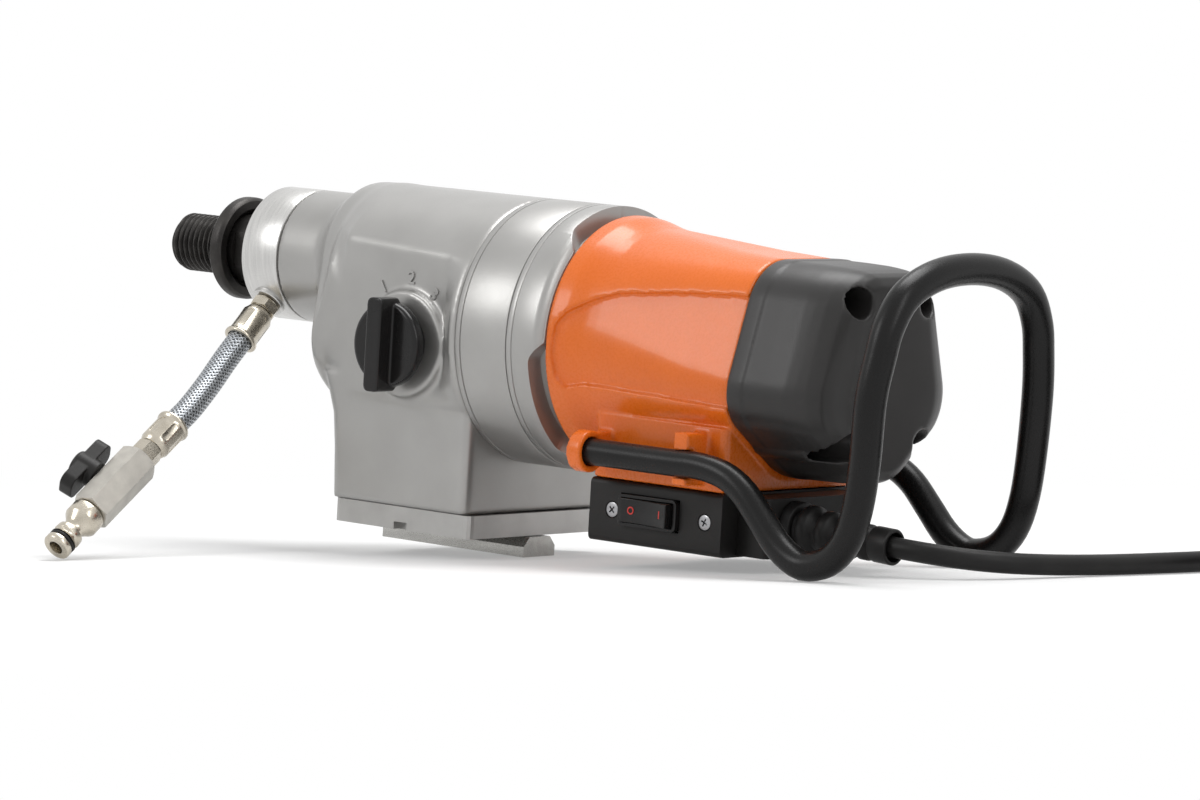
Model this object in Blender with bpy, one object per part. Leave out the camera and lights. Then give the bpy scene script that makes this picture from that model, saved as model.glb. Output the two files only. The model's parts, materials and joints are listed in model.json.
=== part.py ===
"""Core drill motor: a three-speed wet drill with a mounting shoe, a water hose and a carrying handle.

The tool frame has +X along the spindle towards its thread, +Y to the tool's left and +Z away from the
shoe. Its origin is the centre of the shoe's mounting face. The tool stands on the shoe's rear edge and
on the two bottoms of the handle, so the world frame is that frame tilted until both touch the floor.
"""

from math import asin, atan2, cos, hypot, pi, radians, sin

import bmesh
import bpy
from mathutils import Matrix, Vector

GAP = 0.0003            # clearance between pieces that touch
RUNNING = 0.0006        # radial clearance of what turns or slides

# Mounting shoe and base plate
SHOE_LENGTH = 0.100
SHOE_HALF_WIDTH = 0.0125
SHOE_HEAD_HEIGHT = 0.0055
SHOE_HEIGHT = 0.0105
SHOE_UNDERCUT = 0.0042
PLATE_FRONT = 0.049
PLATE_REAR = -0.0465
PLATE_HALF_WIDTH = 0.0535
PLATE_THICKNESS = 0.0122

# Barrel: gearbox, rings and motor share one axis
BARREL_AXIS_Z = 0.119
BARREL_RADIUS = 0.070
CASTING_WALL = 0.0045
BLOCK_FRONT = 0.0505
BLOCK_REAR = -0.045
BLOCK_HALF_WIDTH = 0.0555
BLOCK_REAR_HALF_WIDTH = 0.0585
SEAM_FRONT = -0.0435
SEAM_REAR = -0.0785
JUNCTION = -0.1015
CAP_SEAM = -0.217
CAP_REAR = -0.277

# Spindle, water collar and nose
SPINDLE_AXIS_Z = 0.145
NOSE_RADIUS = 0.036
NOSE_FRONT = 0.117
NOSE_REAR = 0.088
COLLAR_LENGTH = 0.026
COLLAR_BORE = 0.0184
SPINDLE_RADIUS = 0.0175
SPINDLE_GEAR_SEAT = 0.016
SPINDLE_TAIL_RADIUS = 0.012
SPINDLE_BORE = 0.005
SPINDLE_TIP = 0.216
THREAD_RADIUS = 0.015875     # 1 1/4 inch, 7 threads per inch
THREAD_LENGTH = 0.033
RING_RADIUS = 0.028
RING_REAR = 0.167
RING_WIDTH = 0.0078
FRONT_BEARING_X = 0.078
FRONT_BEARING_WIDTH = 0.018
FRONT_BEARING_RADIUS = 0.0305
REAR_BEARING_X = -0.014
REAR_BEARING_WIDTH = 0.012
REAR_BEARING_RADIUS = 0.020

# Gears
SPEED_MODULE = 0.0025
SPEED_TEETH = {"low": (11, 29), "middle": (16, 24), "high": (20, 20)}
SPEED_GEAR_X = {"low": 0.036, "middle": 0.020, "high": 0.004}
SPEED_GEAR_WIDTH = 0.012
DRIVE_MODULE = 0.0015
MOTOR_PINION_TEETH = 8
FIRST_GEAR_TEETH = 27
SECOND_PINION_TEETH = 9
SECOND_GEAR_TEETH = 27
FIRST_GEAR_X = SEAM_REAR + 0.0135
SECOND_GEAR_X = -0.026
DRIVE_GEAR_WIDTH = 0.010
LAYSHAFT_RADIUS = 0.008
LAYSHAFT_FRONT = 0.062
LAYSHAFT_REAR = SEAM_FRONT - 0.007
INTERMEDIATE_RADIUS = 0.005
INTERMEDIATE_FRONT = -0.0145
INTERMEDIATE_REAR = SEAM_REAR + 0.001
BEARING_PLATE_THICKNESS = 0.008

# Speed selector
SELECTOR_X = 0.000
SELECTOR_Z = 0.1095
SELECTOR_BOSS_RADIUS = 0.028
SELECTOR_BOSS_FACE = 0.0625
SELECTOR_SHAFT_RADIUS = 0.006
KNOB_DISC_RADIUS = 0.0225
KNOB_DISC_FACE = 0.0697
KNOB_DISC_THICKNESS = 0.0060
KNOB_BAR_HALF_LENGTH = 0.0247
KNOB_BAR_HALF_WIDTH = 0.005
KNOB_OUTER_FACE = 0.0852
CRANK_RADIUS = 0.012
CRANK_PIN_RADIUS = 0.0025
FORK_RAIL_RADIUS = 0.004
FORK_RAIL_Y = 0.033
FORK_RAIL_Z = 0.084

# Motor
MOTOR_BORE = 0.0500
FLANGE_RADIUS = 0.066
MOTOR_MIDDLE_Z = 0.114
# Discs (y, z, radius), mirrored in Y, whose hull is the motor's section at its rear
MOTOR_REAR_DISCS = ((0.018, 0.142, 0.030), (0.036, 0.106, 0.024), (0.0, 0.100, 0.040))
MOTOR_SHAFT_RADIUS = 0.005
MOTOR_PINION_CORE = 0.0036
ARMATURE_RADIUS = 0.0295
ARMATURE_FRONT = -0.122
ARMATURE_REAR = -0.178
COMMUTATOR_RADIUS = 0.0165
COMMUTATOR_FRONT = -0.190
COMMUTATOR_REAR = -0.206
STATOR_BORE = 0.0305
FAN_X = SEAM_REAR - 0.0165
FAN_RADIUS = 0.050
MOTOR_BEARING_RADIUS = 0.013
CAP_BEARING_X = -0.232
VENT_DEPTH = 0.0075
CAP_SCREWS = ((0.0275, 0.1545), (0.0285, 0.0815))
CAP_SCREW_SEAT = -0.236
CAP_POCKET_RADIUS = 0.0075

# Handle tube
TUBE_RADIUS = 0.0076
TUBE_RUN_RADIUS = 0.0069
TUBE_ARCH_RADIUS = 0.0081
TUBE_HALF_SPREAD = 0.0695
TUBE_RUN_Z = 0.0675
TUBE_FRONT = -0.128
TUBE_BOTTOM = (-0.2832, 0.0253)
CLAMP_FRONT = -0.132
CLAMP_WIDTH = 0.0085
CLAMP_RADIUS = 0.0108
SADDLE_X = -0.199

# Switch box
SWITCH_BOX_FRONT = -0.128
SWITCH_BOX_REAR = -0.215
SWITCH_BOX_TAIL = -0.234
SWITCH_BOX_HALF_WIDTH = 0.054
SWITCH_BOX_TAIL_HALF_WIDTH = 0.041
SWITCH_BOX_BOTTOM = 0.0205
SWITCH_BOX_TOP = 0.053
ROCKER_X = -0.168
ROCKER_Z = 0.0385
ROCKER_HALF_LENGTH = 0.0165
ROCKER_HALF_HEIGHT = 0.0062
ROCKER_TIP = radians(6)
PANEL_SCREW_X = (-0.143, -0.204)

# Mains lead
CORD_DIAMETER = 0.0108
LEAD_EXIT = Vector((SWITCH_BOX_TAIL - GAP, 0.019, 0.0372))
LEAD_DIRECTION = Vector((-1.0, -0.04, -0.055)).normalized()
BOOT_LENGTH = 0.051
BOOT_RIBS = 4
SLEEVE_LENGTH = 0.0115
SLEEVE_RADIUS = 0.0092
COIL_CENTRE = (-0.478, -0.183)
COIL_MEAN_RADIUS = 6 * CORD_DIAMETER
COIL_TURNS_ACROSS = 3
COIL_TURNS_HIGH = 3
COIL_SIDES = 36
COIL_ENTRY_ANGLE = radians(15)
PLUG_ANGLE = radians(200)
PLUG_RADIUS = 0.0184

# Water hose
PORT_ANGLE = radians(44.5)
PORT_X = 0.130
HOSE_RADIUS = 0.0072
FERRULE_LENGTH = 0.021
VALVE_AXIS_START = Vector((0.1206, 0.0998, 0.0644))
HOSE_NUT_LENGTH = 0.0105
VALVE_LENGTH = 0.0448
VALVE_FLAT_RADIUS = 0.0100
NIPPLE_LENGTH = 0.0305
NIPPLE_RADIUS = 0.0078
VALVE_STEM_TURN = radians(35.5)
VALVE_AXIS_SLOPE = radians(35.4)
VALVE_AXIS_DRIFT = radians(1.2)

BARREL_SIDES = 36
ROUND_SIDES = 28
HIDDEN_SIDES = 18
SMALL_SIDES = 14

FINISHES = {
    "silver_paint": ((0.44, 0.44, 0.43), 0.42, 0.55),
    "machined_aluminium": ((0.72, 0.71, 0.69), 0.30, 1.0),
    "bright_steel": ((0.60, 0.59, 0.57), 0.25, 1.0),
    "dark_steel": ((0.035, 0.034, 0.034), 0.42, 0.8),
    "gear_steel": ((0.30, 0.30, 0.31), 0.35, 1.0),
    "nickel": ((0.62, 0.58, 0.52), 0.22, 1.0),
    "orange_paint": ((0.73, 0.16, 0.03), 0.25, 0.0),
    "black_plastic": ((0.012, 0.011, 0.011), 0.45, 0.0),
    "dark_grey_plastic": ((0.045, 0.042, 0.041), 0.45, 0.0),
    "black_tube": ((0.010, 0.009, 0.009), 0.35, 0.0),
    "black_rubber": ((0.014, 0.013, 0.013), 0.55, 0.0),
    "copper": ((0.65, 0.28, 0.12), 0.35, 1.0),
    "core_steel": ((0.18, 0.18, 0.19), 0.5, 1.0),
    "carbon": ((0.02, 0.02, 0.02), 0.6, 0.0),
    "braid": ((0.50, 0.52, 0.53), 0.35, 0.6),
}


def remove_scene_objects():
    for obj in list(bpy.data.objects):
        bpy.data.objects.remove(obj, do_unlink=True)


def finish(name):
    """The named material, made once."""
    if name in bpy.data.materials:
        return bpy.data.materials[name]
    color, roughness, metallic = FINISHES[name]
    material = bpy.data.materials.new(name)
    material.use_nodes = True
    shader = material.node_tree.nodes["Principled BSDF"]
    shader.inputs["Base Color"].default_value = (*color, 1.0)
    shader.inputs["Roughness"].default_value = roughness
    shader.inputs["Metallic"].default_value = metallic
    material.diffuse_color = (*color, 1.0)
    return material


def stand_tilt():
    """The angle that brings the shoe's rear edge and the handle's bottoms onto one flat floor."""
    back = -SHOE_LENGTH / 2 - TUBE_BOTTOM[0]
    up = TUBE_BOTTOM[1]
    return atan2(up, back) - asin(TUBE_RADIUS / hypot(back, up))


TILT = stand_tilt()
FLOOR_Z = -SHOE_LENGTH / 2 * sin(TILT)


def add_frame(name, matrix, parent=None):
    frame = bpy.data.objects.new(name, None)
    bpy.context.scene.collection.objects.link(frame)
    frame.parent = parent
    frame.matrix_local = matrix
    return frame


def add_piece(name, mesh_builder, material, parent, sharp=35, origin=(0, 0, 0)):
    """An object from a filled bmesh, with normals out, round faces smooth and edges sharp."""
    bmesh.ops.recalc_face_normals(mesh_builder, faces=mesh_builder.faces)
    mesh = bpy.data.meshes.new(name)
    mesh_builder.to_mesh(mesh)
    mesh_builder.free()
    mesh.shade_smooth()
    mesh.set_sharp_from_angle(angle=radians(sharp))
    mesh.transform(Matrix.Translation(-Vector(origin)))
    obj = bpy.data.objects.new(name, mesh)
    obj.data.materials.append(finish(material))
    bpy.context.scene.collection.objects.link(obj)
    obj.parent = parent
    obj.location = origin
    return obj


def hide_helper(helper):
    helper.hide_render = True
    helper.display_type = "WIRE"


def boolean(target, helper, operation):
    modifier = target.modifiers.new(helper.name, "BOOLEAN")
    modifier.object = helper
    modifier.operation = operation
    modifier.solver = "EXACT"
    hide_helper(helper)


def cut(target, *helpers):
    for helper in helpers:
        boolean(target, helper, "DIFFERENCE")


def unite(target, *helpers):
    for helper in helpers:
        boolean(target, helper, "UNION")


def skin_rings(rings, closed):
    """A solid through rings of points. Open ends are capped, and a ring of one point is a pole."""
    shape = bmesh.new()
    loops = [[shape.verts.new(point) for point in ring] for ring in rings]
    pairs = list(zip(loops, loops[1:]))
    if closed:
        pairs.append((loops[-1], loops[0]))
    for first, second in pairs:
        count = max(len(first), len(second))
        for step in range(count):
            following = (step + 1) % count
            corners = [
                first[step % len(first)],
                first[following % len(first)],
                second[following % len(second)],
                second[step % len(second)],
            ]
            shape.faces.new(list(dict.fromkeys(corners)))
    if not closed:
        for loop in (loops[0], loops[-1]):
            if len(loop) > 2:
                shape.faces.new(loop)
    return shape


def morphed_solid(sections):
    """A closed solid through unlike sections, in triangles because its four-sided faces would warp."""
    shape = skin_rings(sections, closed=False)
    bmesh.ops.triangulate(shape, faces=shape.faces)
    return shape


def circle_points(x, radius, centre_y, centre_z, sides):
    if radius == 0:
        return [(x, centre_y, centre_z)]
    return [
        (x, centre_y + radius * cos(2 * pi * k / sides), centre_z + radius * sin(2 * pi * k / sides))
        for k in range(sides)
    ]


def turned_solid(outline, axis_z=0.0, axis_y=0.0, sides=ROUND_SIDES):
    """A solid turned about X. An outline that leaves the axis is a closed ring section."""
    closed = all(radius > 0 for _, radius in outline)
    return skin_rings([circle_points(x, r, axis_y, axis_z, sides) for x, r in outline], closed)


def ring_outline(rear, front, inner, outer, chamfer=0.0):
    """The section of a plain ring, its outer corners chamfered."""
    outline = [(rear, inner), (rear, outer - chamfer)]
    if chamfer > 0:
        outline += [(rear + chamfer, outer), (front - chamfer, outer)]
    else:
        outline.append((front, outer))
        return outline + [(front, inner)]
    return outline + [(front, outer - chamfer), (front, inner)]


def clearing(radius, sides=ROUND_SIDES):
    """The corner radius of a many-sided hole whose flats clear a round piece of this radius."""
    return (radius + GAP) / cos(pi / sides)


def rod_outline(rear, front, radius, chamfer=0.0):
    if chamfer == 0:
        return [(rear, 0), (rear, radius), (front, radius), (front, 0)]
    return [
        (rear, 0),
        (rear, radius - chamfer),
        (rear + chamfer, radius),
        (front - chamfer, radius),
        (front, radius - chamfer),
        (front, 0),
    ]


def box_solid(low, high):
    shape = bmesh.new()
    bmesh.ops.create_cube(shape, size=1)
    middle = (Vector(low) + Vector(high)) / 2
    spread = Vector(high) - Vector(low)
    bmesh.ops.scale(shape, vec=spread, verts=shape.verts)
    bmesh.ops.translate(shape, vec=middle, verts=shape.verts)
    return shape


def bevel_along(shape, axis, width, segments=3):
    """Rounds the edges of a box that run along one axis."""
    direction = Vector((axis == "X", axis == "Y", axis == "Z"))
    edges = [
        edge
        for edge in shape.edges
        if abs((edge.verts[1].co - edge.verts[0].co).normalized().dot(direction)) > 0.99
    ]
    bmesh.ops.bevel(
        shape, geom=edges, offset=width, segments=segments, profile=0.5, affect="EDGES"
    )
    return shape


def section_prism(outline, thickness, to_world):
    """An outline of (u, v) points pushed along w, placed by a function of (u, v, w)."""
    shape = bmesh.new()
    near = [shape.verts.new(to_world(u, v, 0.0)) for u, v in outline]
    far = [shape.verts.new(to_world(u, v, thickness)) for u, v in outline]
    shape.faces.new(near)
    shape.faces.new(far)
    for step in range(len(outline)):
        following = (step + 1) % len(outline)
        shape.faces.new((near[step], near[following], far[following], far[step]))
    return shape


def radial_rod(name, centre, direction, start, end, radius, parent, sides=20):
    """A helper cylinder from start to end along a direction from a centre."""
    shape = turned_solid(rod_outline(start, end, radius), sides=sides)
    turn = Vector((1, 0, 0)).rotation_difference(Vector(direction)).to_matrix().to_4x4()
    bmesh.ops.transform(shape, matrix=Matrix.Translation(Vector(centre)) @ turn, verts=shape.verts)
    return add_piece(name, shape, "gear_steel", parent)


def gear_outline(teeth, module, phase):
    """A spur gear's edge: thin straight-sided teeth, so that they mesh with play at every angle."""
    pitch_radius = teeth * module / 2
    tip = pitch_radius + 0.80 * module
    root = pitch_radius - 1.15 * module
    half_tip = 0.30 * module / tip
    half_root = 0.92 * module / root
    outline = []
    for tooth in range(teeth):
        middle = phase + 2 * pi * tooth / teeth
        for radius, angle in ((root, -half_root), (tip, -half_tip), (tip, half_tip), (root, half_root)):
            outline.append((radius * cos(middle + angle), radius * sin(middle + angle)))
    return outline


def gear_solid(teeth, module, phase, rear, width, centre):
    """A gear without a bore, its axis along X through centre (y, z)."""
    outline = gear_outline(teeth, module, phase)
    return section_prism(outline, width, lambda u, v, w: (rear + w, centre[0] + u, centre[1] + v))


def meeting_point(first, first_distance, second, second_distance):
    """The point on the right of two (y, z) centres that lies at the two distances from them."""
    span = Vector(second) - Vector(first)
    reach = span.length
    along = (first_distance**2 - second_distance**2 + reach**2) / (2 * reach)
    aside = (first_distance**2 - along**2) ** 0.5
    unit = span / reach
    left = Vector(first) + unit * along + Vector((-unit.y, unit.x)) * aside
    right = Vector(first) + unit * along - Vector((-unit.y, unit.x)) * aside
    return min(left, right, key=lambda point: point.x)


def bearing_of(first, second):
    """The angle in the YZ plane from one (y, z) centre to another."""
    return atan2(second[1] - first[1], second[0] - first[0])


MOTOR_CENTRE = Vector((0.0, BARREL_AXIS_Z))
SPINDLE_CENTRE = Vector((0.0, SPINDLE_AXIS_Z))
LAY_DISTANCE = sum(SPEED_TEETH["middle"]) * SPEED_MODULE / 2
LAY_CENTRE = SPINDLE_CENTRE - Vector((0.0, LAY_DISTANCE))
FIRST_DISTANCE = (MOTOR_PINION_TEETH + FIRST_GEAR_TEETH) * DRIVE_MODULE / 2
SECOND_DISTANCE = (SECOND_PINION_TEETH + SECOND_GEAR_TEETH) * DRIVE_MODULE / 2
INTERMEDIATE_CENTRE = meeting_point(MOTOR_CENTRE, FIRST_DISTANCE, LAY_CENTRE, SECOND_DISTANCE)


def meshed_phase(driver_phase, driver_teeth, driver_centre, driven_teeth, driven_centre):
    """The phase that puts a gap of the driven gear at the driver's tooth nearest the line of centres."""
    towards = bearing_of(driver_centre, driven_centre)
    offset = (towards - driver_phase) * driver_teeth / (2 * pi)
    lead = (round(offset) - offset) * 2 * pi / driver_teeth
    return towards + pi - lead * driver_teeth / driven_teeth + pi / driven_teeth


def hull_section(x, discs, flat=1.0, sides=BARREL_SIDES):
    """The tight outline round discs (y, z, half width, half height), mirrored in Y and cut off at +-flat."""
    both = [(side * y, z, wide, high) for y, z, wide, high in discs for side in (-1, 1)]
    points = []
    for step in range(sides):
        angle = 2 * pi * (step + 0.5) / sides
        across, up = cos(angle), sin(angle)

        def reach(disc):
            return disc[0] * across + disc[1] * up + hypot(disc[2] * across, disc[3] * up)

        y, z, wide, high = max(both, key=reach)
        size = hypot(wide * across, high * up)
        edge_y = y + wide * wide * across / size
        edge_z = z + high * high * up / size
        points.append((x, max(-flat, min(flat, edge_y)), edge_z))
    return points


def clipped_circle(x, centre_z, radius, flat, sides=BARREL_SIDES):
    """A circle whose sides are cut off flat at Y = -flat and +flat."""
    return hull_section(x, ((0.0, centre_z, radius, radius),), flat, sides)


def motor_section(x, front_radius, share, wide=1.0, high=1.0):
    """A section between the motor's round front (share 0) and its squarer rear (share 1)."""
    front = clipped_circle(x, BARREL_AXIS_Z, front_radius, front_radius)
    rear = hull_section(x, [(y, z, radius, radius) for y, z, radius in MOTOR_REAR_DISCS])
    mixed = [Vector(a).lerp(Vector(b), share) for a, b in zip(front, rear)]
    return [(x, y * wide, MOTOR_MIDDLE_Z + (z - MOTOR_MIDDLE_Z) * high) for x, y, z in mixed]


# The casting's front: X, then discs (y, z, half width, half height) round the spindle and under it
CASTING_FRONT = (
    (0.060, ((0, 0.133, 0.0565, 0.0565), (0, 0.112, 0.056, 0.056))),
    (0.066, ((0, 0.140, 0.049, 0.049), (0, 0.110, 0.058, 0.048))),
    (0.071, ((0, 0.143, 0.046, 0.046), (0, 0.107, 0.055, 0.040))),
    (0.076, ((0, SPINDLE_AXIS_Z, 0.0435, 0.0435), (0, 0.108, 0.045, 0.030))),
    (0.082, ((0, SPINDLE_AXIS_Z, 0.039, 0.039), (0, 0.118, 0.036, 0.020))),
    (NOSE_REAR, ((0, SPINDLE_AXIS_Z, NOSE_RADIUS, NOSE_RADIUS),)),
)
# The foot's front edge flares forward with height: Z, X, corner radius
FOOT_FRONT = ((0.050, 0.0520, 0.005), (0.068, 0.0545, 0.006), (0.078, 0.0585, 0.007), (0.090, 0.0640, 0.009))


def casting_sections(inset):
    """The gearbox casting from its rear seam to its nose, inset by its wall for the inside."""
    round_radius = BARREL_RADIUS - inset
    flat = BLOCK_HALF_WIDTH - inset
    sections = [
        clipped_circle(SEAM_FRONT + GAP / 2, BARREL_AXIS_Z, round_radius, BARREL_RADIUS),
        clipped_circle(SEAM_FRONT + 0.0045, BARREL_AXIS_Z, round_radius, BARREL_RADIUS),
        clipped_circle(
            SEAM_FRONT + 0.0175, BARREL_AXIS_Z, round_radius, BLOCK_REAR_HALF_WIDTH - inset
        ),
        clipped_circle(0.048, BARREL_AXIS_Z, round_radius, flat),
    ]
    for x, discs in CASTING_FRONT:
        inner = [(y, z, wide - inset, high - inset) for y, z, wide, high in discs]
        sections.append(hull_section(x - inset, inner, flat))
    return sections


def foot_section(z, front, corner):
    """A horizontal rounded rectangle of the casting's foot."""
    points = []
    for across, along in ((1, 1), (-1, 1), (-1, -1), (1, -1)):
        centre_x = front - corner if along > 0 else BLOCK_REAR + corner
        centre_y = across * (BLOCK_HALF_WIDTH - corner)
        first = {(1, 1): pi / 2, (-1, 1): 0, (-1, -1): -pi / 2, (1, -1): -pi}[(across, along)]
        for step in range(4):
            angle = first - step * pi / 6
            points.append((centre_x + corner * cos(angle), centre_y + corner * sin(angle), z))
    return points


def make_front_casing(tool):
    """Gearbox casting: body, square foot, nose, selector boss, bearing seats and a shift rail hole."""
    nose = clipped_circle(NOSE_FRONT - GAP, SPINDLE_AXIS_Z, NOSE_RADIUS, NOSE_RADIUS)
    outside = morphed_solid(casting_sections(0.0) + [nose])
    casing = add_piece("gearbox_front_casing", outside, "silver_paint", tool, sharp=28)
    plate_top = SHOE_HEIGHT + GAP + PLATE_THICKNESS + GAP
    foot_levels = ((plate_top, BLOCK_FRONT, 0.005),) + FOOT_FRONT
    foot = morphed_solid([foot_section(*level) for level in foot_levels])
    boss = turned_solid(
        [
            (0.045, 0),
            (0.045, SELECTOR_BOSS_RADIUS + 0.004),
            (BLOCK_HALF_WIDTH, SELECTOR_BOSS_RADIUS + 0.003),
            (SELECTOR_BOSS_FACE - 0.001, SELECTOR_BOSS_RADIUS),
            (SELECTOR_BOSS_FACE, SELECTOR_BOSS_RADIUS - 0.001),
            (SELECTOR_BOSS_FACE, 0),
        ],
    )
    bmesh.ops.transform(boss, matrix=selector_turn(), verts=boss.verts)
    unite(
        casing,
        add_piece("casing_foot", foot, "silver_paint", tool),
        add_piece("casing_selector_boss", boss, "silver_paint", tool),
    )
    hollow = morphed_solid(casting_sections(CASTING_WALL))
    bmesh.ops.translate(hollow, vec=(-0.004, 0, 0), verts=hollow.verts)
    pocket = box_solid(
        (BLOCK_REAR + CASTING_WALL, -BLOCK_HALF_WIDTH + CASTING_WALL, plate_top - 0.01),
        (BLOCK_FRONT - CASTING_WALL, BLOCK_HALF_WIDTH - CASTING_WALL, 0.046),
    )
    ring_seat = turned_solid(
        rod_outline(BLOCK_REAR - 0.01, SEAM_FRONT + GAP / 2, clearing(BARREL_RADIUS, BARREL_SIDES)),
        axis_z=BARREL_AXIS_Z,
        sides=BARREL_SIDES,
    )
    cut(
        casing,
        add_piece("casing_hollow", hollow, "silver_paint", tool),
        add_piece("casing_pocket", pocket, "silver_paint", tool),
        add_piece("casing_ring_seat", ring_seat, "silver_paint", tool),
    )
    seats = add_piece("casing_seats", bearing_web(), "silver_paint", tool)
    lay_boss_outline = rod_outline(LAYSHAFT_FRONT - 0.012, 0.0725, LAYSHAFT_RADIUS + 0.005)
    lay_boss = turned_solid(lay_boss_outline, axis_z=LAY_CENTRE.y, sides=HIDDEN_SIDES)
    unite(casing, seats, add_piece("casing_lay_boss", lay_boss, "silver_paint", tool))
    cut(casing, *casing_bores(tool))
    return casing


def selector_turn():
    """Turns a shape made along X so that it stands along Y on the selector's axis."""
    swing = Vector((1, 0, 0)).rotation_difference(Vector((0, 1, 0))).to_matrix().to_4x4()
    return Matrix.Translation((SELECTOR_X, 0, SELECTOR_Z)) @ swing


def bearing_web():
    """The half bulkhead inside the casting that holds the spindle's rear bearing."""
    outline = clipped_circle(0, BARREL_AXIS_Z, BARREL_RADIUS - 0.0024, BLOCK_HALF_WIDTH - 0.0008)
    upper = [(y, z) for _, y, z in outline if z > BARREL_AXIS_Z + 0.001]
    return section_prism(upper, REAR_BEARING_WIDTH, lambda u, v, w: (REAR_BEARING_X + w, u, v))


def casing_bores(tool):
    """Bores of the casting: nose, spindle bearings, layshaft journal, selector shaft and shift rail."""
    nose_end = NOSE_FRONT + 0.01
    bearing_end = FRONT_BEARING_X + FRONT_BEARING_WIDTH + GAP
    nose_outline = [
        (FRONT_BEARING_X - 0.012, 0),
        (FRONT_BEARING_X - 0.012, FRONT_BEARING_RADIUS - 0.003),
        (FRONT_BEARING_X - GAP, FRONT_BEARING_RADIUS - 0.003),
        (FRONT_BEARING_X - GAP, clearing(FRONT_BEARING_RADIUS)),
        (bearing_end, clearing(FRONT_BEARING_RADIUS)),
        (bearing_end, COLLAR_BORE + 0.004),
        (nose_end, COLLAR_BORE + 0.004),
        (nose_end, 0),
    ]
    rear_bearing = rod_outline(
        REAR_BEARING_X - 0.001, REAR_BEARING_X + REAR_BEARING_WIDTH + 0.001, clearing(REAR_BEARING_RADIUS)
    )
    lay_bore = rod_outline(0.040, LAYSHAFT_FRONT + GAP, clearing(LAYSHAFT_RADIUS, 20))
    rail_bore = rod_outline(0.030, 0.0463, clearing(FORK_RAIL_RADIUS, 12))
    return [
        add_piece(
            "nose_bore", turned_solid(nose_outline, axis_z=SPINDLE_AXIS_Z), "silver_paint", tool
        ),
        add_piece(
            "rear_bearing_bore",
            turned_solid(rear_bearing, axis_z=SPINDLE_AXIS_Z),
            "silver_paint",
            tool,
        ),
        add_piece(
            "lay_bore", turned_solid(lay_bore, axis_z=LAY_CENTRE.y, sides=20), "silver_paint", tool
        ),
        add_piece(
            "rail_bore",
            turned_solid(rail_bore, axis_z=FORK_RAIL_Z, axis_y=FORK_RAIL_Y, sides=12),
            "silver_paint",
            tool,
        ),
        radial_rod(
            "selector_bore",
            (SELECTOR_X, 0, SELECTOR_Z),
            (0, 1, 0),
            0.040,
            0.080,
            clearing(SELECTOR_SHAFT_RADIUS, SMALL_SIDES),
            tool,
            sides=SMALL_SIDES,
        ),
    ]


def make_ring_casings(tool):
    """The middle ring with its rear wall, the bearing plate, and the vented rear flange."""
    inner = BARREL_RADIUS - CASTING_WALL
    front = SEAM_FRONT - GAP / 2
    rear = SEAM_REAR + GAP / 2
    wall_front = rear + 0.0065
    bearing_inner = clearing(MOTOR_BEARING_RADIUS, BARREL_SIDES)
    ring_outline_points = [
        (rear, bearing_inner),
        (rear, BARREL_RADIUS - 0.0007),
        (rear + 0.0007, BARREL_RADIUS),
        (front - 0.0007, BARREL_RADIUS),
        (front, BARREL_RADIUS - 0.0007),
        (front, inner),
        (wall_front, inner),
        (wall_front, bearing_inner),
    ]
    ring = add_piece(
        "gearbox_ring_casing",
        turned_solid(ring_outline_points, axis_z=BARREL_AXIS_Z, sides=BARREL_SIDES),
        "silver_paint",
        tool,
    )
    journal = rod_outline(rear + 0.0015, wall_front + 0.002, clearing(INTERMEDIATE_RADIUS, SMALL_SIDES))
    journal_hole = turned_solid(
        journal, axis_z=INTERMEDIATE_CENTRE.y, axis_y=INTERMEDIATE_CENTRE.x, sides=SMALL_SIDES
    )
    cut(ring, add_piece("ring_journal", journal_hole, "silver_paint", tool))
    make_bearing_plate(tool, front - 0.0005, inner - GAP)
    make_rear_flange(tool)


def make_bearing_plate(tool, front, radius):
    """A disc between ring and casting: it carries the layshaft's rear end and the shift fork's rail."""
    rear = front - BEARING_PLATE_THICKNESS
    plate = add_piece(
        "gearbox_bearing_plate",
        turned_solid(rod_outline(rear, front, radius), axis_z=BARREL_AXIS_Z, sides=BARREL_SIDES),
        "machined_aluminium",
        tool,
    )
    holes = (
        ("plate_lay_hole", LAY_CENTRE, clearing(LAYSHAFT_RADIUS, 20), rear + 0.001),
        ("plate_intermediate_hole", INTERMEDIATE_CENTRE, clearing(INTERMEDIATE_RADIUS, 20), rear - 0.001),
    )
    for name, centre, hole_radius, start in holes:
        outline = rod_outline(start, front + 0.001, hole_radius)
        hole = turned_solid(outline, axis_z=centre[1], axis_y=centre[0], sides=20)
        cut(plate, add_piece(name, hole, "machined_aluminium", tool))
    rail = turned_solid(
        rod_outline(rear + 0.003, 0.0460, FORK_RAIL_RADIUS, 0.0005),
        axis_z=FORK_RAIL_Z,
        axis_y=FORK_RAIL_Y,
        sides=16,
    )
    unite(plate, add_piece("shift_rail", rail, "machined_aluminium", tool))


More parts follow.
